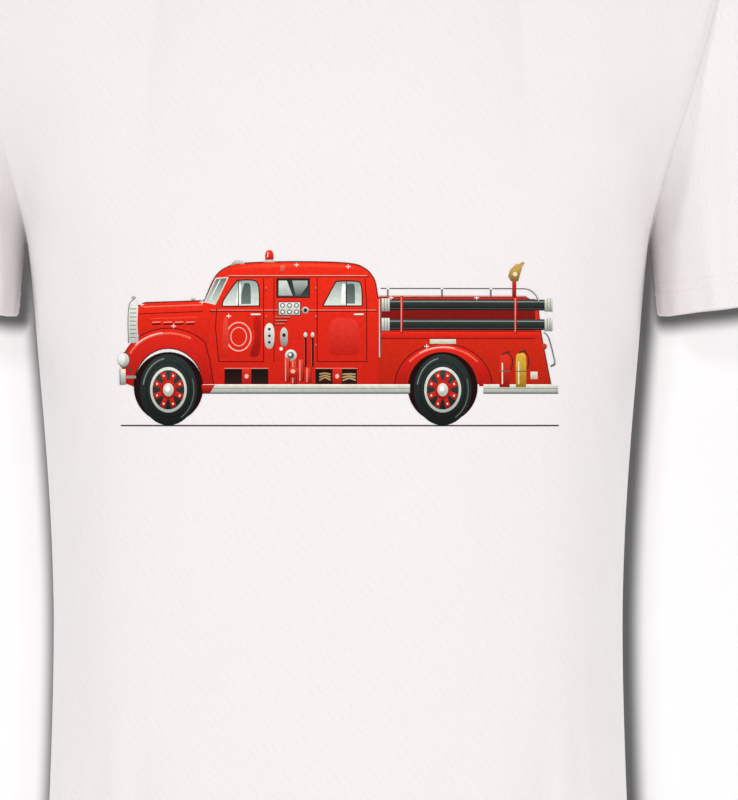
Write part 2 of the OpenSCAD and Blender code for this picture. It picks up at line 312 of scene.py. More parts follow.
# %% The form under the cloth
def vertex_normals(vertices, cells):
    across = vertices[cells[:, 2]] - vertices[cells[:, 0]]
    up = vertices[cells[:, 3]] - vertices[cells[:, 1]]
    flat = np.cross(across, up)
    normal = np.zeros_like(vertices)
    for k in range(4):
        np.add.at(normal, cells[:, k], flat)
    return normal / np.linalg.norm(normal, axis=1, keepdims=True).clip(1e-12)


def unit(vectors):
    return vectors / np.linalg.norm(vectors, axis=-1, keepdims=True)


def plain_mesh(name, vertices, cells):
    mesh = bpy.data.meshes.new(name)
    mesh.from_pydata([tuple(p) for p in vertices], [], [tuple(int(i) for i in c) for c in cells])
    mesh.update()
    return mesh


def place_object(name, data):
    thing = bpy.data.objects.new(name, data)
    bpy.context.scene.collection.objects.link(thing)
    return thing


sides = np.concatenate([cells[:, [k, (k + 1) % 4]] for k in range(4)])
near = np.unique(np.concatenate([sides, sides[:, ::-1]]), axis=0)  # each point beside each of its neighbours
degree = np.bincount(near[:, 0], minlength=len(start)).astype(float)


def smooth(values, rounds):
    """Averages values over the neighbouring points of the cloth, as often as rounds says."""
    grid = np.array(values, float).reshape(len(values), -1)
    for _ in range(rounds):
        total = np.zeros_like(grid)
        np.add.at(total, near[:, 0], grid[near[:, 1]])
        grid = grid * 0.5 + total / degree[:, None] * 0.5
    return grid.reshape(np.shape(values))


# a real shirt has no edge where the formulas for body and shoulders meet, so that band is evened out
band = np.exp(-(((start[:, 2] - armpit_z) / 0.040) ** 2))
band = band * np.clip((armpit_half - np.abs(start[:, 0])) / 0.025, 0, 1)
start = start + (smooth(start, 60) - start) * band[:, None]
is_sleeve = np.zeros(len(start), bool)
is_sleeve[right_ids[1:].ravel()] = is_sleeve[left_ids[1:].ravel()] = True
height, out = start[:, 2], vertex_normals(start, cells)
slack = np.interp(height, [-0.70, -0.56, -0.45, -0.32, -0.20, -0.08, 0.0],
                  [0.012, 0.014, 0.022, 0.012, 0.005, 0.003, 0.002])
away = np.zeros(len(start))
for ids in (right_ids, left_ids):
    away[ids] = np.linspace(0, 1, RINGS + 1)[:, None]
slack = np.where(is_sleeve, 0.003 + 0.009 * away, slack)
slack = smooth(slack, 12)
form = start - out * slack[:, None]
print("form", round(slack.min() * 1000, 1), "to", round(slack.max() * 1000, 1), "mm inside the cloth")

# %% The drape
CAP = 0.012  # no point moves further than this


def drape(frames=24):
    """Runs the cloth over the form and gives back its points after the last frame."""
    body = place_object("wearer_form", plain_mesh("wearer_form", form, cells))
    cloth = place_object("hanging_cloth", plain_mesh("hanging_cloth", start, cells))
    body.modifiers.new("Collision", "COLLISION")
    body.collision.thickness_outer, body.collision.cloth_friction = 0.001, 12
    # the picture's place keeps its form, the rest is free
    calm = np.exp(-((start[:, 0] / 0.155) ** 6)) * np.exp(-(((height + 0.320) / 0.200) ** 6)) * (start[:, 1] < 0)
    # the shoulders carry the shirt, and the collar keeps the neckline's shape
    carried = 1 - ease((shoulder_line(start[:, 0]) - height) / 0.045)
    for ids in (front_ids, back_ids):
        carried[ids[-4:, HALF - NECK : HALF + NECK + 1]] = 1
    for ids in (right_ids, left_ids):  # and the arm holds the sleeve's underside near the body
        under = np.abs((np.arange(2 * YOKE) + YOKE) % (2 * YOKE) - YOKE) / YOKE
        carried[ids] = np.maximum(carried[ids], 0.7 * np.exp(-((under / 0.28) ** 2)))
    keep, room = cloth.vertex_groups.new(name="keep"), cloth.vertex_groups.new(name="room")
    for i in range(len(start)):
        keep.add([i], float(max(0.04 + 0.5 * calm[i], carried[i])), "REPLACE")
        room.add([i], float((1 - calm[i]) * (1 - carried[i])), "REPLACE")
    settings = cloth.modifiers.new("Cloth", "CLOTH").settings
    settings.quality, settings.mass, settings.air_damping = 5, 0.10, 1.5
    settings.tension_stiffness = settings.compression_stiffness = 12
    settings.shear_stiffness, settings.bending_stiffness = 6, 0.8
    settings.vertex_group_mass, settings.pin_stiffness = "keep", 1.0
    settings.vertex_group_shrink, settings.shrink_min, settings.shrink_max = "room", 0.0, -0.022
    collision = cloth.modifiers["Cloth"].collision_settings
    collision.distance_min, collision.collision_quality, collision.use_self_collision = 0.001, 2, False
    cloth.modifiers["Cloth"].point_cache.frame_end = frames
    for frame_number in range(1, frames + 1):
        bpy.context.scene.frame_set(frame_number)
    solved = cloth.evaluated_get(bpy.context.evaluated_depsgraph_get()).data
    hung = np.zeros(len(start) * 3)
    solved.vertices.foreach_get("co", hung)
    for obj in (body, cloth):
        mesh = obj.data
        bpy.data.objects.remove(obj)
        bpy.data.meshes.remove(mesh)
    bpy.context.scene.frame_set(1)
    return hung.reshape(-1, 3)


moved = drape() - start
far = np.linalg.norm(moved, axis=1)
print(f"cloth moved {np.median(far) * 1000:.1f} mm in the middle and {far.max() * 1000:.1f} mm at most")

# %% [markdown]
# A free run lets cloth slip further than a stitched shirt can on its wearer. So each point's path is shortened
# smoothly, so that none goes further than the cap, and the finest crumples, which are smaller than real jersey can
# make, are ironed out. Blender's own Smooth modifier would also shrink the shirt. Here only the movement is
# smoothed, and the start stays as it is.

# %% Cap and iron the drape
moved = moved * (CAP * np.tanh(far / CAP) / far.clip(1e-9))[:, None]
moved = smooth(moved, 4)
worn = start + moved
for ids in (front_ids, back_ids):  # no crease runs inwards from the underarm seams
    for _ in range(10):
        zone = worn[ids[BODY - 9 : BODY + 10, 1:-1]]
        worn[ids[BODY - 8 : BODY + 9, 1:-1]] = zone[1:-1] / 2 + (zone[:-2] + zone[2:]) / 4
worn_normal = unit(smooth(vertex_normals(worn, cells), 2))
print("cloth now moved", round(float(np.linalg.norm(moved, axis=1).max()) * 1000, 1), "mm at most")

# %% [markdown]
# ## From one skin to cut pieces
# The solver worked on a coarse net without thickness. A sewn shirt is made of cut pieces with real thickness,
# seams and folded hems. Each piece takes its part of the net, is made finer along smooth curves, and gets an inner
# and an outer skin. Blender's Subdivision Surface and Solidify could do both. Own code is used because rows can
# then be set close together exactly where a seam or a fold needs them, and because the UV map can be in real
# metres, which keeps the knit at one size on all pieces.

# %% Smooth curves through a grid, and its UV map
def along(values, places, ring=False):
    """Catmull-Rom values between the rows of an array, at fractional row numbers."""
    last = len(values) - 1
    k = np.clip(np.floor(places).astype(int), 0, last if ring else last - 1)
    f = (places - k).reshape([-1] + [1] * (values.ndim - 1))

    def pick(i):
        """Row i. Beyond an open end the rows go on as the mirror image of those before it."""
        if ring:
            return values[i % len(values)]
        end = np.clip(i, 0, last)
        beyond = 2 * values[end] - values[np.clip(2 * end - i, 0, last)]
        return np.where((i != end).reshape(f.shape), beyond, values[end])

    a, b, c, d = (pick(k + step) for step in (-1, 0, 1, 2))
    return b + 0.5 * f * (c - a + f * (2 * a - 5 * b + 4 * c - d + f * (3 * (b - c) + d - a)))


def finer(grid, rows, columns, ring=False):
    fine = along(grid, rows)
    return np.swapaxes(along(np.swapaxes(fine, 0, 1), columns, ring), 0, 1)


def lengths(grid, axis):
    """The distance of each point of a grid from the first one of its row or column."""
    step = np.linalg.norm(np.diff(grid, axis=axis), axis=2)
    return np.concatenate([np.zeros_like(np.take(step, [0], axis)), np.cumsum(step, axis)], axis)


def spaced(*stretches):
    """Fractional places in a row of stretches: (end, step) pairs from 0 on."""
    places = [0.0]
    for end, step in stretches:
        count = max(1, round((end - places[-1]) / step))
        places += list(np.linspace(places[-1], end, count + 1)[1:])
    return np.array(places)


# %% [markdown]
# A hem is sewn through three layers that never feed quite evenly, so its edge ripples a little. The ripples are too
# small for the coarse cloth of the drape. They are added here, before the pieces are cut, so that the skin, the
# turned-up part and the stitches all follow them.

# %% Ripples along the hems
def ripple(ids, height, pitch, reach, under_arm=0.0):
    """Waves along the edge that ids begins with, fading out over reach. under_arm gathers them at the seam."""
    up, round_it = lengths(worn[ids], 0), lengths(worn[ids], 1)
    turn = np.minimum(round_it, round_it[:, -1:] - round_it) / round_it[:, -1:]
    waves = np.sin(2 * np.pi * round_it / pitch + 2.2 * np.sin(round_it / (1.7 * pitch)))
    share = (1 - under_arm) + under_arm * np.exp(-((turn / 0.13) ** 2))
    return worn[ids] + worn_normal[ids] * (height * share * waves * np.exp(-((up / reach) ** 2)))[:, :, None]


body_rings = np.concatenate([front_ids, back_ids[:, -2:0:-1]], 1)  # rows of the body, all the way round
worn[body_rings[:14]] = ripple(body_rings[:14], 0.0004, 0.024, 0.022)
for ids in (right_ids[:-13:-1], left_ids[:-13:-1]):
    worn[ids] = ripple(ids, 0.0006, 0.019, 0.024, 0.7)
worn_normal = unit(smooth(vertex_normals(worn, cells), 1))
print("hem points that ripple:", 14 * body_rings.shape[1] + 24 * right_ids.shape[1])

# %% [markdown]
# A piece of cloth is closed all round: the outer skin, the inner skin, and a narrow strip that joins their edges.
# `cloth_piece` takes the two skins as grids of equal size. Rings, such as a sleeve or a hem, are joined end to end.

# %% Closed pieces of cloth
def grid_numbers(grid):
    return np.arange(grid.shape[0] * grid.shape[1]).reshape(grid.shape[:2])


def set_uv(mesh, uv):
    mesh.uv_layers.new(name="cloth").uv.foreach_set("vector", uv.astype(np.float32).ravel())


def closed_cells(skin, deep, ring, flip):
    """The cells of two skins, and of the strips that join their edges."""
    cells = [quads(skin, turn=flip), quads(deep, turn=not flip)]
    edges = [(skin[0], deep[0], True), (skin[-1], deep[-1], False)]
    if not ring:
        edges += [(skin[:, 0], deep[:, 0], False), (skin[:, -1], deep[:, -1], True)]
    for top, low, turn in edges:
        strip = np.stack([top[:-1], low[:-1], low[1:], top[1:]], 1)
        cells.append(strip[:, ::-1] if turn == flip else strip)
    return np.concatenate(cells)


def cloth_piece(name, outer, inner, uv, ring=False, flip=False):
    """A closed piece from two grids of points. uv holds metres for each grid point."""
    rows, columns = outer.shape[:2]
    ids = np.arange(rows * columns).reshape(rows, columns)
    if ring:  # the last column has the first one's points, but its own place in the UV map
        ids = np.concatenate([ids, ids[:, :1]], 1)
        uv = np.concatenate([uv, uv[:, -1:] + (uv[:, -1:] - uv[:, -2:-1])], 1)
    skins = np.concatenate([outer.reshape(-1, 3), inner.reshape(-1, 3)])
    mesh = plain_mesh(name, skins, closed_cells(ids, ids + rows * columns, ring, flip))
    flat_ids = grid_numbers(uv)
    set_uv(mesh, uv.reshape(-1, 2)[closed_cells(flat_ids, flat_ids, ring, flip).ravel()])
    mesh.shade_smooth()
    print(name, len(mesh.vertices), "points,", len(mesh.polygons), "faces")
    return place_object(name, mesh)

# %% [markdown]
# ## Front and back
# Each is one cut piece of jersey. A seam draws the cloth in by about half a millimetre, so the outer skin dips at
# the side seams, the armholes, the shoulders and the neckline. At the bottom the cloth is folded inwards: the skin
# turns a quarter of a circle, and the hem piece turns the other quarter.

# %% The dip at a seam and the turn of a fold
def dip(distance, depth=0.0009, width=0.0016):
    return depth * np.exp(-((distance / width) ** 2))


def fold(distance, t=fabric_t):
    """How far a folded edge has turned in, at a distance from the edge."""
    return 0.96 * (t - np.sqrt(np.clip(t * t - np.clip(t - distance, 0, t) ** 2, 0, None)))


def row_uv(grid):
    """Metres across from the middle of each row, and metres up the middle column."""
    across, up = lengths(grid, 1), lengths(grid, 0)
    middle = grid.shape[1] // 2
    across = across - across[:, middle : middle + 1]
    return np.stack([across, np.repeat(up[:, middle : middle + 1], grid.shape[1], 1)], 2)


edge_steps = ((0.1, 0.1), (0.2, 0.1), (0.4, 0.2), (0.7, 0.3), (1, 0.3))
columns = spaced(*edge_steps, (2 * HALF - 1, 0.5))
columns = np.unique(np.concatenate([columns, 2 * HALF - columns[:6]]).round(4))
panel_rows = spaced((0.03, 0.03), (0.07, 0.04), (0.14, 0.07), (0.5, 0.18), (BODY + YOKE - 1, 0.5))
panel_rows = np.unique(np.concatenate([panel_rows, BODY + YOKE - np.array([0.7, 0.4, 0.2, 0.1, 0])]).round(4))


def panel_uv(grid):
    """Metres across and up. Above the armpits the map turns to the width in the front view, as a flat cut would."""
    across, up = lengths(grid, 1), lengths(grid, 0)
    across = across - across[:, across.shape[1] // 2, None]
    yoke = np.clip((panel_rows - BODY) / YOKE, 0, 1)[:, None] ** 1.5
    above = mix(across[np.searchsorted(panel_rows, BODY)], grid[-1, :, 0], yoke)
    return np.stack([np.where(yoke > 0, above, across), up], 2)


def skins(points, normals, inset, from_fold):
    """The outer and the inner skin. They meet at the fold, where the turned-up part goes on."""
    outer = points - normals * inset[:, :, None]
    inner = points - normals * np.maximum(inset + fabric_t * (from_fold > 1e-5), fabric_t)[:, :, None]
    return outer, inner


def panel(name, ids, flip):
    grid, normal = finer(worn[ids], panel_rows, columns), unit(finer(worn_normal[ids], panel_rows, columns))
    side, up = lengths(grid, 1), lengths(grid, 0)
    to_side = np.minimum(side, side[:, -1:] - side)
    to_top = up[-1:] - up
    inset = np.maximum(dip(to_side), dip(to_top)) + fold(up)
    piece = cloth_piece(name, *skins(grid, normal, inset, up), panel_uv(grid), flip=flip)
    return piece, grid, normal


front, front_fine, front_normal = panel("front_panel", front_ids, False)
back, back_fine, back_normal = panel("back_panel", back_ids, True)

# %% [markdown]
# ## Sleeves
# A set-in sleeve is a tube that is cut longer over the shoulder than under the arm. Its rings are therefore counted
# back from the open end, by their distance along the cloth, so that the hem is equally high all round.

# %% Both sleeves
def by_length(grid, normal, distance):
    """Points at given distances from the last row, measured along each column. distance is rows x columns."""
    run = lengths(grid, 0)
    run = (run[-1:] - run)[::-1]
    points, normals = (
        np.stack([sample(distance[:, k], run[:, k], values[::-1, k]) for k in range(grid.shape[1])], 1)
        for values in (grid, normal))
    return points, unit(normals)


def round_uv(points, up):
    """A ring's UV map: metres along each row, and the given metres up."""
    across = lengths(np.concatenate([points, points[:, :1]], 1), 1)[:, :-1]
    return np.stack([across, up], 2)


fold_steps = np.array([0, 0.00015, 0.0004, 0.0008])
hem_steps = np.concatenate([fold_steps, [0.0025, 0.005, 0.0075, 0.010, 0.0125, 0.015, 0.0175, hem_height]])
seam_steps = np.array([0.0040, 0.0024, 0.0012, 0.0005, 0])


def sleeve(name, ids, flip):
    rows, ring_columns = np.arange(0, RINGS + 0.01, 0.25), np.arange(0, 2 * YOKE, 0.5)
    grid, normal = finer(worn[ids], rows, ring_columns, True), finer(worn_normal[ids], rows, ring_columns, True)
    total = lengths(grid, 0)[-1]
    upper = np.linspace(0, 1, 62)[1:-1, None] * (total - hem_height - seam_steps[0]) + hem_height
    steps = [np.repeat(hem_steps[:, None], len(total), 1), upper, total - seam_steps[:, None]]
    distance = np.concatenate(steps)[::-1]  # from the armhole down to the open end
    points, normals = by_length(grid, normal, distance)
    both = skins(points, normals, dip(total - distance) + fold(distance), distance)
    uv = round_uv(points, -distance * total.mean() / total)
    return cloth_piece(name, *both, uv, ring=True, flip=flip), grid, normal


left_sleeve, left_fine, left_normal = sleeve("sleeve_left", right_ids, True)
right_sleeve, right_fine, right_normal = sleeve("sleeve_right", left_ids, False)

# %% [markdown]
# ## Hems
# At the bottom and at the sleeves the cloth is turned up inside by two centimetres. Only its outer half was made so
# far. This is the inner half: a ring that begins at the fold and lies against the inside of the shirt.

# %% The turned-up parts of the three hems
def hem(name, grid, normal, flip):
    distance = np.repeat(hem_steps[::-1, None], grid.shape[1], 1)
    points, normals = by_length(grid, normal, distance)
    near_skin = np.full_like(distance, fabric_t + 0.00003)
    far_skin = 2 * fabric_t - fold(distance)
    near_skin[-1] = fabric_t
    return cloth_piece(name, points - normals * near_skin[:, :, None], points - normals * far_skin[:, :, None],
                       round_uv(points, distance), ring=True, flip=flip)


rings, around = np.arange(0, 6.01, 0.25), np.arange(0, 4 * HALF, 0.5)
bottom_fine, bottom_normal = (finer(values[body_rings[:8]], rings, around, True)[::-1]
                              for values in (worn, worn_normal))
bottom_hem = hem("hem_bottom", bottom_fine, bottom_normal, True)
left_sleeve_hem = hem("hem_sleeve_left", left_fine, left_normal, True)
right_sleeve_hem = hem("hem_sleeve_right", right_fine, right_normal, False)

# %% [markdown]
# ## Collar
# The collar is a strip of one-by-one rib knit, folded lengthwise and sewn to the neckline. It is shorter than the
# neckline, so it pulls in and stands up. Its cross-section, a flat loop with rounded ends, is swept round the
# neckline. It rises flattest at the throat and steepest at the nape.

# %% The collar's plain band
RIB = 0.0021  # one rib and one groove
ring = np.concatenate([front_ids[-1, HALF - NECK : HALF + NECK + 1],
                       back_ids[-1, HALF - NECK + 1 : HALF + NECK][::-1]])
CURVE = 1601  # points on the neckline before it is divided evenly


def neckline(count):
    """Even points round the neckline, the distance of each from the start, the length, and shares of a turn."""
    places = np.linspace(0, len(ring), CURVE)[:-1]
    closed = along(worn[ring], places, True)
    closed = np.concatenate([closed, closed[:1]])
    run = run_along(closed)
    at = np.linspace(0, run[-1], count, endpoint=False)
    return sample(at, run, closed), at, run[-1], np.interp(at, run, np.linspace(0, 1, CURVE))


ribs = round(neckline(100)[2] / RIB)
base, at, neck_length, turn = neckline(ribs * 4)
rise = np.radians(49 - 9 * np.cos(2 * np.pi * (turn - NECK / len(ring))))
inward = np.stack([-base[:, 0], -base[:, 1] - neck_half / 4, np.zeros(len(base))], 1)
inward = unit(inward)
lift = inward * np.cos(rise)[:, None] + np.array([0, 0, 1]) * np.sin(rise)[:, None]
cross = unit(np.cross(np.roll(base, -1, 0) - np.roll(base, 1, 0), lift))
cross *= np.sign((cross * (np.array([0, 0, 1]) - inward)).sum(1))[:, None]  # away from the neck
half, tuck = fabric_t * 0.95, 0.0004  # half the folded band's thickness, and what the seam hides
front_side = [(a, 0.0) for a in np.linspace(0, 1, 9) * (collar_width - 2 * half) + half - tuck]
cap = [(collar_width - half + math.sin(q) * half, -half + math.cos(q) * half)
       for q in np.radians(range(30, 151, 30))]
inner_side = [(a, -2 * half) for a, _ in front_side[::-1]]
foot = [(half - tuck - math.sin(q) * half, -half - math.cos(q) * half) for q in np.radians([45, 90, 135])]
loop = np.array(front_side + cap + inner_side + foot)
crown = 0.0009 * np.sin(np.pi * np.clip(loop[:, 0] / collar_width, 0, 1))  # the band bows outwards a little
band = (base[None] + lift[None] * loop[:, 0, None, None] + cross[None] * (loop[:, 1] + crown)[:, None, None])
ids = grid_numbers(band)
collar_mesh = plain_mesh("rib_collar", band.reshape(-1, 3), quads(np.concatenate([ids, ids[:1]]), ring=True))
around = run_along(np.concatenate([loop, loop[:1]]))
uv = np.stack(np.meshgrid(around, np.linspace(0, neck_length, len(base) + 1), indexing="ij"), -1)[..., ::-1]
set_uv(collar_mesh, uv.reshape(-1, 2)[quads(grid_numbers(uv)).ravel()])


def set_values(mesh, name, values, kind="FLOAT", field="value"):
    """Gives each point of a mesh its own value, which nodes read by name."""
    mesh.attributes.new(name, kind, "POINT").data.foreach_set(field, np.array(values, np.float32).ravel())


set_values(collar_mesh, "rib_phase", np.tile(at / neck_length * ribs, band.shape[0]))
collar = place_object("rib_collar", collar_mesh)
print("neckline", round(neck_length, 3), "m,", ribs, "ribs")

# %% [markdown]
# Rib knit is rows of stitches that alternate between front and back, so it has real ridges. They repeat along the
# collar, which is work for Geometry Nodes: every point moves along its normal by a cosine of its place. The tree
# has the depth and the finish as named inputs.

# %% Ribs by Geometry Nodes
def new_tree(name, **inputs):
    """An empty geometry tree with named inputs, and its start and end nodes."""
    tree = bpy.data.node_groups.new(name, "GeometryNodeTree")
    tree.interface.new_socket("Geometry", in_out="INPUT", socket_type="NodeSocketGeometry")
    for label, (kind, value) in inputs.items():
        socket = tree.interface.new_socket(label.replace("_", " "), in_out="INPUT", socket_type="NodeSocket" + kind)
        if value is not None:
            socket.default_value = value
    tree.interface.new_socket("Geometry", in_out="OUTPUT", socket_type="NodeSocketGeometry")
    return tree, tree.nodes.new("NodeGroupInput"), tree.nodes.new("NodeGroupOutput")


def add(tree, kind, links=(), **settings):
    """A node with its settings, linked from (input, output socket) pairs. A plain value sets the input."""
    node = tree.nodes.new(kind)
    for label, value in settings.items():
        setattr(node, label, value)
    for place, source in dict(links).items():
        if isinstance(source, bpy.types.NodeSocket):
            tree.links.new(source, node.inputs[place])
        else:
            node.inputs[place].default_value = source
    return node


def math_node(tree, operation, *values):
    return add(tree, "ShaderNodeMath", dict(enumerate(values)), operation=operation).outputs[0]


def finish_tree(tree, end, geometry, material):
    """The last two nodes of every tree here: real geometry instead of instances, and its material."""
    real = add(tree, "GeometryNodeRealizeInstances", {"Geometry": geometry})
    done = add(tree, "GeometryNodeSetMaterial", {"Geometry": real.outputs[0], "Material": material})
    tree.links.new(done.outputs[0], end.inputs[0])


def apply_tree(piece, tree, name, **values):
    """Runs a tree on an object, keeps the plain mesh that comes out, and removes the modifier."""
    modifier = piece.modifiers.new("nodes", "NODES")
    modifier.node_group = tree
    sockets = {s.name: s.identifier for s in tree.interface.items_tree if s.in_out == "INPUT"}
    for label, value in values.items():
        modifier[sockets[label.replace("_", " ")]] = value
    graph = bpy.context.evaluated_depsgraph_get()
    mesh = bpy.data.meshes.new_from_object(piece.evaluated_get(graph), depsgraph=graph)
    piece.modifiers.remove(modifier)
    old, piece.data = piece.data, mesh
    bpy.data.meshes.remove(old)
    mesh.name = name
    print(name, len(mesh.vertices), "points,", len(mesh.polygons), "faces")
    return piece


rib_tree, start_node, end_node = new_tree("Rib ridges", Depth=("Float", 0.0002), Finish=("Material", None))
phase = add(rib_tree, "GeometryNodeInputNamedAttribute", {"Name": "rib_phase"}, data_type="FLOAT")
angle = math_node(rib_tree, "MULTIPLY", phase.outputs["Attribute"], 2 * math.pi)
deep = math_node(rib_tree, "MULTIPLY", math_node(rib_tree, "COSINE", angle), start_node.outputs["Depth"])
normal_node = add(rib_tree, "GeometryNodeInputNormal")
shift = add(rib_tree, "ShaderNodeVectorMath", {0: normal_node.outputs[0], "Scale": deep}, operation="SCALE")
ridged = add(rib_tree, "GeometryNodeSetPosition",
             {"Geometry": start_node.outputs["Geometry"], "Offset": shift.outputs[0]})
finish_tree(rib_tree, end_node, ridged.outputs[0], start_node.outputs["Finish"])

# %% [markdown]
# ## Tape and label
# Inside the back of the neck a woven tape covers the seam, from one shoulder seam to the other, and a plain label
# hangs below its middle. Both follow the back panel's inner skin.

# %% Neck tape and blank label
def inside_strip(name, low_column, high_column, distance, near_skin, far_skin):
    """A strip inside the back panel, between two columns, at distances below the neckline."""
    places = np.arange(low_column, high_column + 0.01, 0.25)
    rows = np.arange(BODY + YOKE - 12, BODY + YOKE + 0.01, 0.25)
    grid, normal = (finer(values[back_ids], rows, places) for values in (worn, worn_normal))
    points, normals = by_length(grid, normal, np.repeat(distance[::-1, None], len(places), 1))
    row, column = np.arange(len(distance)), np.arange(len(places))
    edge = np.minimum.outer(np.minimum(row, row[::-1]), np.minimum(column, column[::-1]))
    thick = (far_skin - near_skin) * np.interp(edge, [0, 1, 2], [0.35, 0.85, 1.0])
    return cloth_piece(name, points - normals * near_skin, points - normals * (near_skin + thick)[:, :, None],
                       row_uv(points), flip=True)


tape = inside_strip("tape_neck", HALF - NECK, HALF + NECK, np.linspace(0, tape_width, 13), 0.00085, 0.0014)
label_low, label_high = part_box("neck_label")
label_columns = np.interp([label_low[0], label_high[0]], worn[back_ids[-1], 0], np.arange(2 * HALF + 1))
label = inside_strip("label_neck", *label_columns, np.linspace(0.0015, 0.038, 20), 0.00142, 0.00185)
print("label", round(label_high[0] - label_low[0], 3), "m wide")

# %% [markdown]
# ## Stitches
# Knitted hems are sewn with two needles, whose threads lie as two parallel rows of short stitches outside and as a
# zigzag inside. The neckline has a row beside the collar. Each stitch is a small bulge of thread. Modelling one and
# repeating it along a path is again a job for Geometry Nodes: the path is resampled at the stitch length, and a
# stitch is set on each point, turned along the path and up along the cloth's normal.

# %% A tree that sews along a path
sew_tree, start_node, end_node = new_tree(
    "Row of stitches", Pitch=("Float", 0.0030), Length=("Float", 0.0024), Width=("Float", 0.00045),
    Slant=("Float", 0.0), Seed=("Int", 7), Finish=("Material", None))
sew = lambda kind, links=(), **settings: add(sew_tree, kind, links, **settings)
path = sew("GeometryNodeMeshToCurve", {"Mesh": start_node.outputs["Geometry"]})
dots = sew("GeometryNodeCurveToPoints", {"Curve": path.outputs[0], "Length": start_node.outputs["Pitch"]},
           mode="LENGTH")
out_node = sew("GeometryNodeInputNamedAttribute", {"Name": "out"}, data_type="FLOAT_VECTOR")
lie = sew("FunctionNodeAlignRotationToVector", {"Vector": dots.outputs["Tangent"]}, axis="X")
stand = sew("FunctionNodeAlignRotationToVector",
            {"Rotation": lie.outputs[0], "Vector": out_node.outputs["Attribute"]}, axis="Z", pivot_axis="X")
vary = sew("FunctionNodeRandomValue", {"Seed": start_node.outputs["Seed"]}, data_type="FLOAT")
vary.inputs[2].default_value, vary.inputs[3].default_value = -0.07, 0.07
tilt = sew("ShaderNodeMath", {0: vary.outputs[1], 1: start_node.outputs["Slant"]}, operation="ADD")
turn_node = sew("ShaderNodeCombineXYZ", {"Z": tilt.outputs[0]})
turned = sew("FunctionNodeRotateRotation", {"Rotation": stand.outputs[0], "Rotate By": turn_node.outputs[0]},
             rotation_space="LOCAL")
bead = sew("GeometryNodeMeshUVSphere", {"Segments": 6, "Rings": 5, "Radius": 0.5})
size = sew("ShaderNodeCombineXYZ", {"X": start_node.outputs["Length"], "Y": start_node.outputs["Width"],
                                    "Z": start_node.outputs["Width"]})
lay_down = sew("GeometryNodeTransform", {"Geometry": bead.outputs["Mesh"], "Rotation": (0, math.radians(90), 0)})
smooth_bead = sew("GeometryNodeSetShadeSmooth", {"Geometry": lay_down.outputs[0], "Shade Smooth": True})
placed = sew("GeometryNodeInstanceOnPoints", {"Points": dots.outputs["Points"], "Instance": smooth_bead.outputs[0],
                                              "Rotation": turned.outputs[0], "Scale": size.outputs[0]})
finish_tree(sew_tree, end_node, placed.outputs[0], start_node.outputs["Finish"])


def path_piece(name, rows):
    """An object of bare polylines. rows are (points, normals, closed), and the normals become the attribute out."""
    points, normals, edges = [], [], []
    for line, normal, closed in rows:
        first, count = len(points), len(line)
        points += [tuple(p) for p in line]
        normals += [tuple(n) for n in normal]
        edges += [(first + i, first + (i + 1) % count) for i in range(count if closed else count - 1)]
    mesh = bpy.data.meshes.new(name)
    mesh.from_pydata(points, edges, [])
    set_values(mesh, "out", normals, "FLOAT_VECTOR", "vector")
    return place_object(name, mesh)


def row_at(grid, normal, distance, depth=0.0):
    """A line along a grid at one distance from its last row. depth is how deep below the outer skin it lies."""
    points, normals = by_length(grid, normal, np.full((1, grid.shape[1]), distance))
    return points[0] - normals[0] * depth, normals[0]


NEEDLES, BESIDE_COLLAR = (0.0130, 0.0185), 0.0028  # rows above the fold, and the one below the collar
on_skin, inside_hem = 0.00002, 2 * fabric_t
hem_rows, looper_rows = [], []
for grid, normal in ((bottom_fine, bottom_normal), (left_fine, left_normal), (right_fine, right_normal)):
    hem_rows += [(*row_at(grid, normal, d, on_skin), True) for d in NEEDLES]
    line, up_normal = row_at(grid, normal, sum(NEEDLES) / 2, inside_hem)
    looper_rows.append((line, -up_normal, True))
hem_stitches = path_piece("hem_stitches", hem_rows)
hem_loops = path_piece("hem_loops", looper_rows)

at_neck = (columns >= HALF - NECK) & (columns <= HALF + NECK)
front_row, back_row = (row_at(grid[-60:, at_neck], normal[-60:, at_neck], BESIDE_COLLAR, on_skin)
                       for grid, normal in ((front_fine, front_normal), (back_fine, back_normal)))
round_neck = [np.concatenate([ahead, behind[-2:0:-1]]) for ahead, behind in zip(front_row, back_row)]
neck_stitches = path_piece("neck_stitches", [(*round_neck, True)])
print("paths for", len(hem_rows) + len(looper_rows) + 1, "rows of stitches")

# %% [markdown]
# ## Seam allowances
# Inside, the two cloths of a side seam stand together as a strip of about six millimetres, which an overlock
# machine trims and wraps with thread. They show through the bottom opening.

# %% Side seam allowances
ALLOWANCE = 0.006
low, high = 5, int(np.searchsorted(panel_rows, BODY))  # rows of the side seam
profile = np.array([0.5, 0.9, 1, 1, 1, 0.95, 0.6])[:, None, None]
across = np.linspace(0, 1, len(profile))[:, None, None]
allowances = []
for name, way in (("side_seam_right", 1), ("side_seam_left", -1)):
    grid, normal = back_fine[low:high, ::way], back_normal[low:high, ::way][:, 0]
    run = lengths(back_fine, 1)[low:high]
    run = run if way == 1 else (run[:, -1:] - run)[:, ::-1]
    far = np.concatenate([sample([ALLOWANCE], run[r], grid[r]) for r in range(len(grid))])
    strip = grid[:, 0] * (1 - across) + far * across
    near_skin = strip - normal * (fabric_t + 0.00005)
    far_skin = near_skin - normal * profile * 2 * fabric_t
    allowances.append(cloth_piece(name, near_skin, far_skin, row_uv(strip), flip=way < 0))

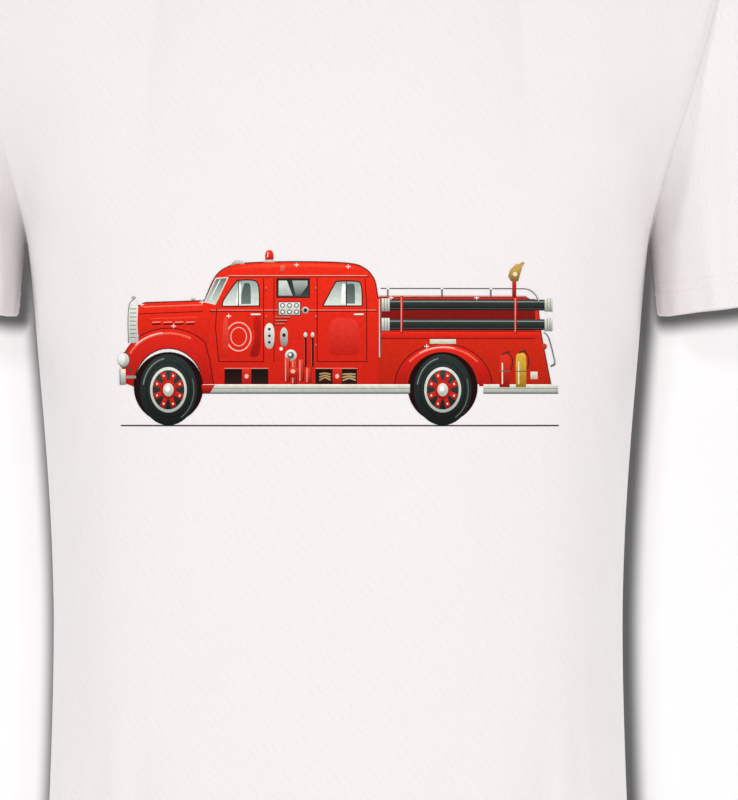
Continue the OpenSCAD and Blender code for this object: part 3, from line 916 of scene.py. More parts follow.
# %% [markdown]
# ## Drawing the picture
# The chest carries a printed fire engine. A bitmap would do for a screen, but a library part should stay sharp and
# stand alone. So the picture is drawn here as flat shapes, as a screen printer cuts stencils: a list of outlines
# and colours, painted one over the other. It is a plain engine of no particular make, with nothing written on it.
# The numbers are millimetres of the drawing, from the bumper's end and from the line that the wheels stand on.

# %% Tools for drawing
shapes = []  # (outline, colour at the top, colour at the bottom)


def ink(code):
    """A colour from six hex digits, in the linear values that Blender counts with."""
    rgb = np.array([int(code[k : k + 2], 16) / 255 for k in (0, 2, 4)])
    return np.where(rgb <= 0.04045, rgb / 12.92, ((rgb + 0.055) / 1.055) ** 2.4)


def paint(outline, top, bottom=None):
    """Adds a filled shape. Its points run anticlockwise, as the triangulation wants them."""
    outline = np.array(outline, float)
    x, z = outline.T
    if (x * np.roll(z, -1) - np.roll(x, -1) * z).sum() < 0:
        outline = outline[::-1]
    fine = []  # long straight edges could not follow the cloth
    for a, b in zip(outline, np.roll(outline, -1, 0)):
        count = max(1, math.ceil(np.linalg.norm(b - a) / 2.6))
        fine += [a + (b - a) * k / count for k in range(count)]
    shapes.append((np.array(fine), ink(top), ink(bottom or top)))


def block(x0, z0, x1, z1, *colours):
    paint([(x0, z0), (x1, z0), (x1, z1), (x0, z1)], *colours)


def arc(x, z, rx, rz, start=0, end=360, count=None):
    count = count or max(8, int(abs(end - start) / 360 * (14 + 1.6 * max(rx, rz))))
    turn = np.radians(np.linspace(start, end, count, endpoint=abs(end - start) < 359.9))
    return np.stack([x + rx * np.cos(turn), z + rz * np.sin(turn)], 1)


def curve(controls, closed=False, steps=6):
    """A smooth line through a few points."""
    controls = np.array(controls, float)
    last = len(controls) if closed else len(controls) - 1
    return along(controls, np.arange(0, last if closed else last + 0.001, 1 / steps), closed)


def line(points, width, *colours, closed=False):
    """A drawn line: one four-sided shape for each of its steps, with a dot at each bend."""
    points = np.array(points, float)
    if closed:
        points = np.concatenate([points, points[:1]])
    for a, b in zip(points[:-1], points[1:]):
        step = (b - a) / max(np.linalg.norm(b - a), 1e-9)
        side = np.array([-step[1], step[0]]) * width / 2
        reach = step * width * 0.2
        paint([a - reach - side, b + reach - side, b + reach + side, a - reach + side], *colours)


def level(x0, x1, z, width, *colours):
    line([(x0, z), (x1, z)], width, *colours)


def upright(x, z0, z1, width, *colours):
    line([(x, z0), (x, z1)], width, *colours)


def disc(x, z, rx, rz, *colours, **part):
    paint(arc(x, z, rx, rz, **part), *colours)


# %% [markdown]
# The body comes first: bonnet, cab, rear body and the sweep of the front wing. Each has a lighter red on top, where
# the sky shines on it, and a darker one below. Thin dark lines part the panels, and pale ones catch the light.

# %% Bonnet, cab and body
RED, DEEP, WARM, DARK, PALE = "ee2c18", "c81e10", "f8482c", "420806", "f8a890"
FRAME, WING_TOP, WING_LOW, SHINE, GLINT = "2a0d0b", "e3261a", "a8130c", "f0604a", "fbd0c6"
block(0, 0.1, 246.5, 0.8, "23262f")  # the ground
roof = curve([(47.2, 70.2), (53.2, 83.6), (60, 89.3), (70, 91.6), (98, 92.4), (127, 91.6), (137, 88.8),
              (142.6, 82.4), (144.6, 72.8)])
cab = np.concatenate([[(46, 23.6), (46, 69.6)], roof, [(145, 23.6)]])
paint(cab, RED, DEEP)
line(cab[1:-1], 0.55, DARK)
gleam = [(62, 88.4), (75, 90.6), (98, 91.3), (127, 90.4), (136, 87.4), (127, 88.6), (98, 89.4), (75, 88.6)]
paint(curve(gleam, True), WARM, RED)
level(60.5, 139.5, 83.9, 0.5, DARK)
level(61, 138.5, 84.6, 0.4, PALE)
paint([(8.6, 52), (8.6, 67.4), (14, 69.6), (46.8, 70.6), (50, 64), (50, 46), (20, 46)], RED, DEEP)  # bonnet
line([(8.8, 67.4), (14, 69.6), (46.8, 70.6)], 0.55, DARK)
line([(13, 67.2), (46, 68.3)], 0.7, "f2705c")
line([(9, 63.2), (46.5, 64.6)], 0.4, DARK)
for k in range(4):
    line([(18 + 6.4 * k, 57.4), (22.6 + 6.4 * k, 57.6)], 0.8, DARK)
    line([(18 + 6.4 * k, 58.5), (22.6 + 6.4 * k, 58.7)], 0.4, PALE)
line([(17, 60.6), (44, 61.4)], 0.45, WARM)
rear = [(144.4, 23.6), (144.4, 72.4), (228, 72.4), (234.4, 69), (236.4, 52), (242, 23.6)]
paint(rear, "e42c14", "b4200c")
line(rear[1:], 0.5, DARK)
block(146.6, 54, 233, 71.6, "8e1610", "6a100b")  # behind the hoses
level(145.6, 228, 73.1, 0.55, "e9786a")
block(146, 49.4, 235.6, 53.4, RED, "c41a11")
level(146, 235.6, 53.5, 0.4, DARK)
level(146, 233, 49.3, 0.4, DARK)
wing = np.concatenate([arc(27, 33.4, 26.4, 21.8, 180, 38), [(50.2, 38), (52.6, 23.4), (45.6, 23.4), (44.6, 30)],
                       arc(27, 22.4, 19.6, 21.4, 24, 180), [(3.2, 24), (1.4, 27)]])
paint(wing, WING_TOP, WING_LOW)
line(wing[:-2], 0.5, DARK)
line(arc(27, 33.4, 23.6, 19.0, 156, 58), 1.3, SHINE)
line(arc(27, 33.4, 24.0, 19.4, 140, 98), 0.6, GLINT)
rear_wing = np.concatenate([arc(181.4, 22.6, 27.4, 23.8, 0, 180), arc(181, 22.6, 20.6, 19.4, 180, 0)])
paint(rear_wing, WING_TOP, WING_LOW)
line(arc(181.4, 22.6, 27.4, 23.8, 2, 178), 0.5, DARK)
line(arc(181.4, 22.6, 24.8, 21.6, 140, 40), 1.1, SHINE)
line(arc(181.4, 22.6, 25.2, 22.0, 122, 76), 0.5, GLINT)
print("body:", len(shapes), "shapes")

# %% Wheels
FRONT_AXLE, REAR_AXLE, AXLE_HEIGHT = 27.0, 181.0, 20.6
for x, z in ((FRONT_AXLE, AXLE_HEIGHT), (REAR_AXLE, AXLE_HEIGHT)):
    disc(x, z + 1.4, 19.6, 19.8, "1c0705")  # the dark arch
    disc(x, z, 16.2, 20.0, "2b3431", "121715")  # tyre
    line(arc(x, z, 14.4, 17.8, 100, 170), 0.7, "77827d")
    line(arc(x, z, 14.4, 17.8, -60, 20), 0.6, "59635f")
    line(arc(x, z, 12.6, 15.6), 0.4, "0c0f0e", closed=True)
    disc(x, z, 10.4, 12.8, "e6e4d8", "a9aca2")  # rim
    disc(x, z, 9.0, 11.1, "3a3f3c", "161a19")
    for k in range(8):
        turn = math.radians(45 * k + 22)
        a = np.array([math.cos(turn), math.sin(turn) * 1.23])
        side = np.array([-math.sin(turn), math.cos(turn) * 1.23])
        centre = np.array([x, z])
        paint([centre + a * 2.6 - side * 0.9, centre + a * 8.4 - side * 1.5, centre + a * 8.4 + side * 1.5,
               centre + a * 2.6 + side * 0.9], "dc2a1c", "9c150d")
        disc(*(centre + a * 6.9), 0.55, 0.65, "e9d9c8", count=8)
    disc(x, z, 4.4, 5.4, "c9261b", "8d120c")
    disc(x, z, 3.0, 3.7, "e7e5da", "a7a9a1")
    disc(x - 0.4, z + 0.6, 1.3, 1.6, "fbfaf4")
print("with wheels:", len(shapes), "shapes")

# %% [markdown]
# Windows, doors and bright metal follow. Glass on such a picture is a pale grey-green with a dark interior showing
# at its edges. Chrome is a pale line with a dark one below it.

# %% Windows and doors
def window(corners, split):
    """Glass with a dark interior, a bright streak, a dark frame and an upright bar at split."""
    outline = curve(corners, steps=3)
    paint(outline, "93a59c", "dfe6dc")
    centre = outline.mean(0)
    paint(centre + (outline - centre) * [0.30, 0.80] + [1.2, -0.6], "47544f", "6d7a74")
    paint(centre + (outline - centre) * [0.13, 0.80] - [2.8, 0.6], "f4f6ef")
    line(outline, 0.65, FRAME, closed=True)
    upright(split, outline[:, 1].min(), outline[:, 1].max(), 0.5, FRAME)


windscreen = [(47.6, 70.0), (53.8, 83.0), (60.6, 83.6), (53.4, 68.6)]
paint(windscreen, "5a6863", "cfd8d0")
line(windscreen, 0.7, "d8d6c8", closed=True)
line([(50.6, 71.4), (56.2, 82.4)], 0.5, "f6f7f2")
window([(57.4, 67.4), (58.2, 71), (64.8, 80.6), (67, 82), (74.6, 82), (77.4, 80), (78.2, 74), (78.2, 67.6)], 66.5)
block(88, 72.4, 106.2, 82.8, "222b28", "3c4743")
paint([(89, 73.4), (89, 81.8), (93.6, 81.8), (96.8, 73.4)], "d9e0d6", "a7b3aa")
paint([(98.6, 73.4), (96.6, 81.8), (105.2, 81.8), (105.2, 79), (101, 73.4)], "aab6ad", "58645e")
line([(88, 72.4), (88, 82.8), (106.2, 82.8), (106.2, 72.4)], 0.6, FRAME, closed=True)
rear_glass = [(113.8, 67.6), (120.2, 79.6), (122.6, 81.4), (132.6, 81.4), (135.2, 79.4), (135.8, 74), (135.8, 67.6)]
window(rear_glass, 127)
level(50, 144, 64.6, 0.45, DARK)
level(51, 143.6, 65.3, 0.4, "f08374")
for door in ([(54.2, 66.5), (53.6, 55), (55.4, 36.4), (80.6, 36.4), (80.6, 83)], [(110.6, 36.4), (110.6, 83)],
             [(137.4, 83), (138.4, 66), (138.4, 36.4), (110.6, 36.4)], [(86.4, 83), (86.4, 36.4)]):
    line(door, 0.45, DARK)
for x in (73.6, 131.4):
    level(x, x + 5, 62.9, 0.9, "eceade")
    level(x, x + 5, 62.2, 0.35, DARK)
for x in (81.6, 109.4):
    for z in (44, 60, 76):
        block(x, z, x + 1, z + 2.4, "e06a5c", "7c0f0a")
line(arc(66.6, 50.4, 6.9, 8.0), 0.7, "f5b3a2", closed=True)  # a plain ring
line(arc(66.6, 50.4, 4.4, 5.2), 0.5, "f5b3a2", closed=True)
paint(curve([(117, 42), (118, 58), (126, 61), (133, 58), (134, 42), (126, 40)], True), "e6372a", "bd1a11")
paint(curve([(57.6, 40), (58, 58), (60, 61), (61, 50), (60, 40)], True), "e84a39", "c41d13")
paint(curve([(73, 40), (75.6, 50), (75, 60), (78.6, 61), (79, 48), (77.6, 40)], True), "c3190f", "95110b")
block(90, 86.0, 92.4, 90.4, "e9786a", DEEP)
print("with windows:", len(shapes), "shapes")

# %% Front end: grille shell, lamp, bumper, horn and beacon
grille = [(4.4, 47), (4.2, 60), (5.0, 68.4), (7.4, 71.4), (9.8, 69.4), (9.6, 58), (10.2, 47)]
paint(curve(grille, steps=4), "f0efe6", "b9bbb2")
for k in range(8):
    level(5.2, 8.9, 50 + 2.3 * k, 0.5, "7d847e")
line(curve(grille[:4]), 0.4, "4c524e")
disc(7.4, 72.4, 1.2, 1.0, "d4d3c8", "8b8f89")
disc(1.6, 37.4, 3.5, 4.1, "f4f3ea", "8f958f")
disc(0.5, 37.8, 1.9, 2.9, "ffffff", "cfd4cd")
line(arc(1.6, 37.4, 3.5, 4.1, -120, 90), 0.45, "414745")
line([(3.4, 33.6), (6.4, 30.6)], 1.0, "3c4240")
block(-0.4, 23.4, 2.8, 32.2, "f1f0e6", "7f857f")
level(2.8, 8.4, 27.8, 1.6, "8d938c")
upright(-0.4, 23.4, 32.2, 0.45, "454b48")
horn = [(62.2, 90.2), (64.4, 93.0), (66.6, 93.4), (69.4, 92.2), (69.6, 91.0), (66, 91.2)]
paint(curve(horn, True), "e9e6da", "77786f")
paint([(80.6, 92), (81.4, 93.6), (86.2, 93.6), (87.0, 92)], "ebe9dd", "8d8f88")
beacon = [(81.6, 93.4), (81.5, 96.4), (82.6, 98.6), (85.0, 98.6), (86.1, 96.4), (86.0, 93.4)]
paint(curve(beacon, steps=4), "f0402c", "b3140d")
line([(82.8, 95), (83.0, 97.6)], 0.6, "fbc5ba")
disc(41, 71.4, 1.2, 0.8, "e8e6da", "777a74")

# %% Pump panel
block(88.9, 62.4, 101.2, 69.8, "e8e7de", "b9bab2")
line([(88.9, 62.4), (88.9, 69.8), (101.2, 69.8), (101.2, 62.4)], 0.4, "2a1512", closed=True)
for row in range(2):
    for k in range(3):
        disc(91.2 + 3.9 * k, 67.9 - 3.6 * row, 1.35, 1.35, "4a4f4c", count=12)
        disc(91.2 + 3.9 * k, 67.9 - 3.6 * row, 0.8, 0.8, "f6f5ee", count=10)
disc(104.0, 65.2, 1.9, 1.9, "d9d8cd", "8f918a")
disc(104.0, 65.2, 1.1, 1.1, "2f3432")
for k in range(3):
    level(87.4, 95.4 - 1.6 * k, 60.8 - 1.9 * k, 0.8, "6d2417")
    level(87.4, 95.4 - 1.6 * k, 61.4 - 1.9 * k, 0.3, "e79a86")
paint(curve([(81.4, 46), (81.2, 55), (83.8, 58), (86.4, 55), (86.2, 46), (83.8, 43.6)], True), "eeece1", "aaaca4")
for k in range(3):
    disc(83.8, 47.2 + 3.7 * k, 0.85, 0.85, "3a3f3d", count=10)
paint(curve([(90.2, 46.6), (90.0, 53), (92, 55.6), (94, 53), (93.8, 46.6), (92, 45)], True), "d6d5ca", "7a7d77")
disc(92, 51.2, 1.0, 1.1, "31211b")
disc(90.4, 43.6, 1.0, 1.0, "f3f2e8")
disc(95.8, 39.9, 3.3, 3.3, "f1f0e6", "8e918a")
disc(95.8, 39.9, 1.9, 1.9, "5a5f5b")
disc(95.4, 40.4, 0.8, 0.8, "ffffff")
for x in (104.0, 108.0):
    upright(x, 33.8, 50, 1.3, "17110f")
    upright(x - 0.5, 34, 49, 0.3, "cf4d3f")
    disc(x, 51.4, 1.0, 1.5, "f5f4eb", "9a9c95")
for x, low, high in ((93.6, 25, 38.4), (97.6, 23.6, 37), (101.6, 25, 37.6), (105.6, 24.4, 33)):
    block(x - 1.5, low, x + 1.5, high, "e8452f", "8e120b")
    upright(x - 0.7, low + 0.6, high - 0.6, 0.5, "f7a294")
    upright(x + 1.5, low, high, 0.35, DARK)
disc(97.4, 30.4, 3.3, 3.1, "e23a28", "8f130c")
disc(97.0, 31.0, 1.3, 1.2, "f9b7aa")
print("with the pump panel:", len(shapes), "shapes")

# %% Running board, lockers and rear step
for x0, x1 in ((58.6, 83.2), (109.6, 132.9)):
    block(x0, 23.8, x1, 32.6, "0f0b0a", "2b1512")
    level(x0, x1, 32.6, 0.5, "ef8474")
for x0, x1 in ((68.4, 73.6), (119.2, 124.4)):
    block(x0, 23.8, x1, 32.6, "dd2f20", "a3150d")
    disc((x0 + x1) / 2, 28.2, 1.1, 1.3, "f5b6a8")
for k in range(3):
    line(curve([(112, 26 + 1.7 * k), (115, 27.4 + 1.2 * k), (118, 26 + 1.6 * k)]), 0.9, "c9a46e", "8f6f40")
    line(curve([(125, 25.8 + 1.7 * k), (128.6, 27 + 1.2 * k), (132, 26 + 1.6 * k)]), 0.9, "d4b37e", "94744a")
for x0, x1 in ((46.4, 162.6), (204, 246)):
    block(x0, 18.8, x1, 23.6, "e4e3d6", "9aa096")
    level(x0, x1, 23.4, 0.5, "f8f7ee")
    level(x0, x1, 21.4, 0.4, "868c83")
    level(x0, x1, 18.7, 0.6, "3e4441")
paint([(51.6, 23.4), (53.4, 23.4), (50.4, 18.8), (46.4, 18.8), (45.6, 23.4)], "c9241a", "7d0f0a")

# %% Hoses, rails and fittings at the rear
for low, high in ((65.2, 71.2), (54.2, 60.2)):
    block(148.6, low, 240, high, "3a403e", "0b0d0d")
    level(149, 239.4, high - 1.1, 0.6, "8c9592")
    level(149, 239.4, low + 0.9, 0.35, "4c5452")
    for x in (146.8, 238.4):
        block(x, low - 0.6, x + 4.4, high + 0.6, "f1f0e4", "8f938a")
        upright(x + 1.4, low - 0.6, high + 0.6, 0.35, "5a605b")
        upright(x + 3.0, low - 0.6, high + 0.6, 0.35, "5a605b")
for x in (158, 222):
    upright(x, 52.4, 73, 1.3, "d93325", "8e130c")
    upright(x - 0.3, 53, 72.4, 0.35, "f8b0a2")
rail = curve([(222, 77.6), (229, 77.2), (233.4, 74), (235, 70.4)])
rail = np.concatenate([[(146.4, 77.6)], rail])
line(rail, 0.95, "474d4a")
line(rail + [0, 0.3], 0.4, "f3f2ea")
for x in (150.2, 180.6, 208):
    upright(x, 72.6, 77.8, 0.8, "5c625e")
    disc(x, 77.8, 0.9, 0.9, "eeede4", count=10)
upright(145.8, 38.8, 71.6, 0.9, "565c58")
upright(145.5, 39, 71.4, 0.35, "f5f4ec")
upright(221.2, 72.6, 81.8, 2.2, "d3291c", "8b120b")
nozzle = [(219.4, 81.6), (223.4, 81.6), (224.6, 86), (226, 90.4), (222.4, 91.4), (219, 88), (217.8, 84.4)]
paint(nozzle, "d8b56a", "7b5a26")
line([(219.6, 87.4), (226.4, 91.8)], 1.5, "c79f52")
disc(221.6, 85.6, 1.3, 1.3, "f3deb0")
block(173.8, 46.3, 188.4, 49, "e9e3cf", "c3bca4")
for x, high, top, bottom in ((215.8, 41.6, "e03423", "8a110b"), (225.0, 42.4, "e0b640", "97701c")):
    bottle = [(-2.9, 22), (-2.9, high - 5), (-1.6, high - 1.4), (1.6, high - 1.4), (2.9, high - 5), (2.9, 22)]
    paint(curve([(x + step, z) for step, z in bottle], steps=4), top, bottom)
    upright(x - 1.3, 24, high - 6, 0.7, "fbe3c4")
    level(x - 2.9, x + 2.9, 31, 0.6, "5e625c")
    line([(x - 1, high - 1), (x + 2.4, high + 0.4)], 1.0, "33302a")
    line(curve([(x + 2.2, high), (x + 4.4, high - 4), (x + 3.8, high - 10)]), 0.55, "1e1b18")
line(curve([(238.2, 53), (240.8, 50), (243.6, 40), (244.2, 35.4), (242, 33.8)]), 1.0, "5c625e")
line(curve([(238.2, 53.2), (241.1, 50.2), (243.9, 40.2), (244.4, 35.6)]), 0.4, "f1f0e8")
block(230.4, 26.6, 234.4, 30.8, "e8e2d0", "b9b19c")
disc(238.4, 45, 1.3, 1.6, "f0503c", "8d120c")
for x, z in ((30, 56.4), (46, 69.8), (99, 90.6), (128, 89.6), (61, 62), (152, 72.2), (200, 72.2), (12, 68.6),
             (172, 45)):  # small stars where chrome and paint catch the light
    level(x - 1.3, x + 1.3, z, 0.4, "fff2ec")
    upright(x, z - 1.1, z + 1.1, 0.4, "fff2ec")
print("the whole picture:", len(shapes), "shapes")

# %% [markdown]
# ## From stencils to ink on cloth
# The outlines overlap. A constrained Delaunay triangulation cuts them all into small triangles that belong to one
# colour each: the colour of the last shape painted there. Blender has one in `mathutils.geometry`. Extra points on
# a grid keep the triangles small, so that the film can follow the cloth. Then each point is laid on the front
# panel, and the film gets its thickness.

# %% One flat net of all the shapes
picture_scale = 243 / 247 / 1000  # drawing millimetres to metres on the shirt
picture_x, picture_z = -0.120, -0.342  # where the bumper and the ground line lie on the shirt
corners, loops = [], []
for outline, _, _ in shapes:
    loops.append(list(range(len(corners), len(corners) + len(outline))))
    corners += [tuple(p) for p in outline]
grid_x, grid_z = np.meshgrid(np.arange(-1, 249, 3.1), np.arange(0.2, 99, 3.1))
corners += list(zip(grid_x.ravel() + 0.013, grid_z.ravel() + 0.017))
net_points, _, net_faces, _, _, owners = delaunay_2d_cdt([Vector(p) for p in corners], [], loops, 0, 1e-5, True)
net_points = np.array([tuple(p) for p in net_points])
kept = [(tuple(face), max(owner)) for face, owner in zip(net_faces, owners) if owner]
net = np.array([face for face, _ in kept])
owner = np.array([top for _, top in kept])
first, second = (net_points[net[:, k]] - net_points[net[:, 0]] for k in (1, 2))
turned_over = first[:, 0] * second[:, 1] - first[:, 1] * second[:, 0] < 0
net[turned_over] = net[turned_over][:, ::-1]
print(len(net), "triangles of ink")

# %% Ink film on the cloth
def on_front(x, z):
    """Rows and columns of the front panel's net where it stands at given places of the front view."""
    grid = worn[front_ids]
    row, column = np.full_like(x, 55.0), np.full_like(x, HALF) + x * 200
    for _ in range(12):
        r, c = np.clip(row, 0, BODY + YOKE - 1.001), np.clip(column, 0, 2 * HALF - 0.001)
        i, j = r.astype(int), c.astype(int)
        f, g = (r - i)[:, None], (c - j)[:, None]
        a, b, e, d = grid[i, j], grid[i, j + 1], grid[i + 1, j], grid[i + 1, j + 1]
        here = a * (1 - f) * (1 - g) + b * (1 - f) * g + e * f * (1 - g) + d * f * g
        per_row, per_column = (e - a) * (1 - g) + (d - b) * g, (b - a) * (1 - f) + (d - e) * f
        dx, dz = x - here[:, 0], z - here[:, 2]
        det = per_column[:, 0] * per_row[:, 2] - per_column[:, 2] * per_row[:, 0]
        column = c + (dx * per_row[:, 2] - dz * per_row[:, 0]) / det
        row = r + (dz * per_column[:, 0] - dx * per_column[:, 2]) / det
    return row, column


def grid_value(values, row, column):
    """Catmull-Rom value of a grid at scattered rows and columns."""
    i, j = np.floor(row).astype(int), np.floor(column).astype(int)
    f, g = (row - i)[:, None], (column - j)[:, None]
    weight = lambda u: [(-u + 2 * u**2 - u**3) / 2, (2 - 5 * u**2 + 3 * u**3) / 2, (u + 4 * u**2 - 3 * u**3) / 2,
                        (u**3 - u**2) / 2]
    total = 0
    for a, row_weight in enumerate(weight(f)):
        for b, column_weight in enumerate(weight(g)):
            total = total + values[i + a - 1, j + b - 1] * row_weight * column_weight
    return total


row, column = on_front(picture_x + net_points[:, 0] * picture_scale, picture_z + net_points[:, 1] * picture_scale)
skin = grid_value(worn[front_ids], row, column)
skin_normal = unit(grid_value(worn_normal[front_ids], row, column))
top_side, low_side = skin + skin_normal * 0.00024, skin + skin_normal * 0.00004
owner_of = {(int(face[k]), int(face[(k + 1) % 3])): top for face, top in zip(net, owner) for k in range(3)}
rim = [(a, b) for a, b in owner_of if (b, a) not in owner_of]  # edges with ink on one side only
count = len(net_points)
film_faces = ([tuple(map(int, f)) for f in net] + [tuple(int(i) + count for i in f[::-1]) for f in net]
              + [(b, a, a + count, b + count) for a, b in rim])
film_owner = np.concatenate([np.repeat(owner, 3), np.repeat(owner, 3), np.repeat([owner_of[e] for e in rim], 4)])
film_points = np.concatenate([top_side, low_side])
mesh = bpy.data.meshes.new("print_engine")
mesh.from_pydata([tuple(p) for p in film_points], [], film_faces)
flat = np.array([i % count for face in film_faces for i in face])
facts = [(outline[:, 1].min(), outline[:, 1].max(), top, low) for outline, top, low in shapes]
low_of, high_of, top_ink, low_ink = (np.array(values)[film_owner] for values in zip(*facts))
share = np.clip((net_points[flat, 1] - low_of) / (high_of - low_of).clip(1e-6), 0, 1)[:, None]
colour = np.concatenate([low_ink + (top_ink - low_ink) * share, np.ones((len(flat), 1))], 1)
layer = mesh.color_attributes.new("ink", "FLOAT_COLOR", "CORNER")
layer.data.foreach_set("color", colour.astype(np.float32).ravel())
set_uv(mesh, net_points[flat] * picture_scale)
picture = place_object("print_engine", mesh)
print("film", len(mesh.polygons), "faces, from", film_points.min(0).round(4), "to", film_points.max(0).round(4))

# %% [markdown]
# ## How jersey looks
# Jersey is a net of loops. On its right side they stand as fine columns of small V shapes, the wales. Real loops
# would need millions of faces, so the knit is a height map that bends the light; in the cotton materials it also
# darkens the colour a little in the hollows, as painted shade. It is built once as a node group, because the
# jersey, the rib, the ink and the hems all use it, each with its own sizes. It reads the UV map, which is in
# metres, so that a wale is equally wide on every piece.

# %% The knit as a node group
def new_shader_group(name, inputs, outputs):
    """An empty node group for materials, and its start and end nodes."""
    tree = bpy.data.node_groups.new(name, "ShaderNodeTree")
    for label, kind, value in inputs:
        socket = tree.interface.new_socket(label, in_out="INPUT", socket_type="NodeSocket" + kind)
        if value is not None:
            socket.default_value = value
    for label in outputs:
        tree.interface.new_socket(label, in_out="OUTPUT", socket_type="NodeSocketFloat")
    return tree, tree.nodes.new("NodeGroupInput"), tree.nodes.new("NodeGroupOutput")


def in_tree(tree):
    """Short words for the four sums that the groups below are made of."""
    return [lambda *values, kind=kind: math_node(tree, kind, *values)
            for kind in ("ADD", "MULTIPLY", "SINE", "DIVIDE")]


knit, knit_in, knit_out = new_shader_group(
    "Knit loops", [("Vector", "Vector", None), ("Wale width", "Float", 0.0008), ("Course height", "Float", 0.0006)],
    ["Height"])
place = add(knit, "ShaderNodeSeparateXYZ", {0: knit_in.outputs["Vector"]})
plus, times, sine, over = in_tree(knit)
wale = over(place.outputs["X"], knit_in.outputs["Wale width"])
course = over(place.outputs["Y"], knit_in.outputs["Course height"])
off_middle = math_node(knit, "PINGPONG", wale, 0.5)  # 0 between wales, 0.5 on a wale's middle
leaning = plus(course, times(off_middle, 1.6))
ridge, legs = sine(times(off_middle, 2 * math.pi)), sine(times(leaning, 2 * math.pi))
knit.links.new(times(ridge, plus(times(legs, 0.35), 0.65)), knit_out.inputs["Height"])

# %% [markdown]
# Cotton jersey is never quite even. The yarn's thickness varies from loop to loop, and washing leaves a faint
# slanting crease pattern, a few millimetres from ridge to ridge. A second group gives this unevenness as a height,
# and as a mask that darkens the colour by a per cent or two: the yarn's own uneven tone, and painted shade along
# the crease ridges.

# %% Unevenness of washed jersey, and painted crease shade
wash, wash_in, wash_out = new_shader_group(
    "Washed cloth and crease shade", [("Vector", "Vector", None), ("Spacing", "Float", 0.0029), ("Slant", "Float", -0.66)],
    ["Height", "Mask"])
turn_cloth = add(wash, "ShaderNodeVectorRotate",
                 {"Vector": wash_in.outputs["Vector"], "Angle": wash_in.outputs["Slant"]}, rotation_type="Z_AXIS")
across_ridges = add(wash, "ShaderNodeSeparateXYZ", {0: turn_cloth.outputs[0]}).outputs["X"]
wander, patches, slubs, clouds = (
    add(wash, "ShaderNodeTexNoise", {"Vector": wash_in.outputs["Vector"], **sizes}).outputs[0]
    for sizes in ({"Scale": 34.0, "Detail": 2.0}, {"Scale": 125.0, "Detail": 1.0},
                  {"Scale": 320.0, "Detail": 3.0, "Roughness": 0.6}, {"Scale": 9.0, "Detail": 2.0}))
plus, times, sine, over = in_tree(wash)
phase = plus(over(across_ridges, wash_in.outputs["Spacing"]), times(wander, 2.0))
clear_ridges = add(wash, "ShaderNodeMapRange", {"Value": patches, "From Min": 0.42, "From Max": 0.62,
                                                "To Min": 0.03, "To Max": 0.36})
ridges = times(sine(times(phase, 2 * math.pi)), clear_ridges.outputs[0])
relief = plus(ridges, math_node(wash, "SUBTRACT", times(slubs, 1.2), 0.1))
wash.links.new(relief, wash_out.inputs["Height"])
# the mask: painted shade along the crease ridges, and the yarn's random tone
wash.links.new(plus(times(relief, 0.5), times(clouds, 0.4)), wash_out.inputs["Mask"])
print("node groups:", [g.name for g in bpy.data.node_groups])

# %% [markdown]
# Each material keeps its own Principled shader. Cotton is rough and has a soft sheen from its loose fibres. Its
# colour is a warm white with a faint uneven yarn tone, and painted shade makes it a little darker in the hollows
# between loops and along the crease ridges.

# %% Cloth materials
def new_material(name, **looks):
    """A material, its tree, and its shader with the given values. Underscores stand for spaces."""
    material = bpy.data.materials.new(name)
    material.use_nodes = True
    shader = material.node_tree.nodes["Principled BSDF"]
    for label, value in looks.items():
        shader.inputs[label.replace("_", " ")].default_value = value
    return material, material.node_tree, shader


def cloth_material(name, light, dark, wale_width, course_height, knit_depth, crease_depth, sheen=0.15, rough=0.85,
                   spacing=0.0040):
    material, tree, shader = new_material(name, Roughness=rough, Sheen_Weight=sheen, Sheen_Roughness=0.5,
                                          Specular_IOR_Level=0.25)
    where = add(tree, "ShaderNodeUVMap", uv_map="cloth").outputs[0]
    sizes = {"Vector": where, "Wale width": wale_width, "Course height": course_height}
    loops = add(tree, "ShaderNodeGroup", sizes, node_tree=knit)
    crease_relief_and_shade = add(tree, "ShaderNodeGroup", {"Vector": where, "Spacing": spacing}, node_tree=wash)
    # painted shade: darker colour in the knit's hollows and along the crease ridges, mixed with the yarn's random
    # tone
    hollow_shade_and_yarn_tone = math_node(tree, "ADD", math_node(tree, "MULTIPLY", crease_relief_and_shade.outputs["Mask"], 0.75),
                     math_node(tree, "MULTIPLY", loops.outputs["Height"], 0.25))
    shade = add(tree, "ShaderNodeMapRange", {"Value": hollow_shade_and_yarn_tone, "From Min": 0.25, "From Max": 0.75})
    colour = add(tree, "ShaderNodeMix", {0: shade.outputs[0]}, data_type="RGBA")
    colour.inputs[6].default_value, colour.inputs[7].default_value = (*ink(dark), 1), (*ink(light), 1)
    tree.links.new(colour.outputs[2], shader.inputs["Base Color"])
    crease = add(tree, "ShaderNodeBump", {"Height": crease_relief_and_shade.outputs["Height"], "Distance": crease_depth})
    bump = add(tree, "ShaderNodeBump", {"Height": loops.outputs["Height"], "Distance": knit_depth,
                                        "Normal": crease.outputs[0]})
    tree.links.new(bump.outputs[0], shader.inputs["Normal"])
    return material


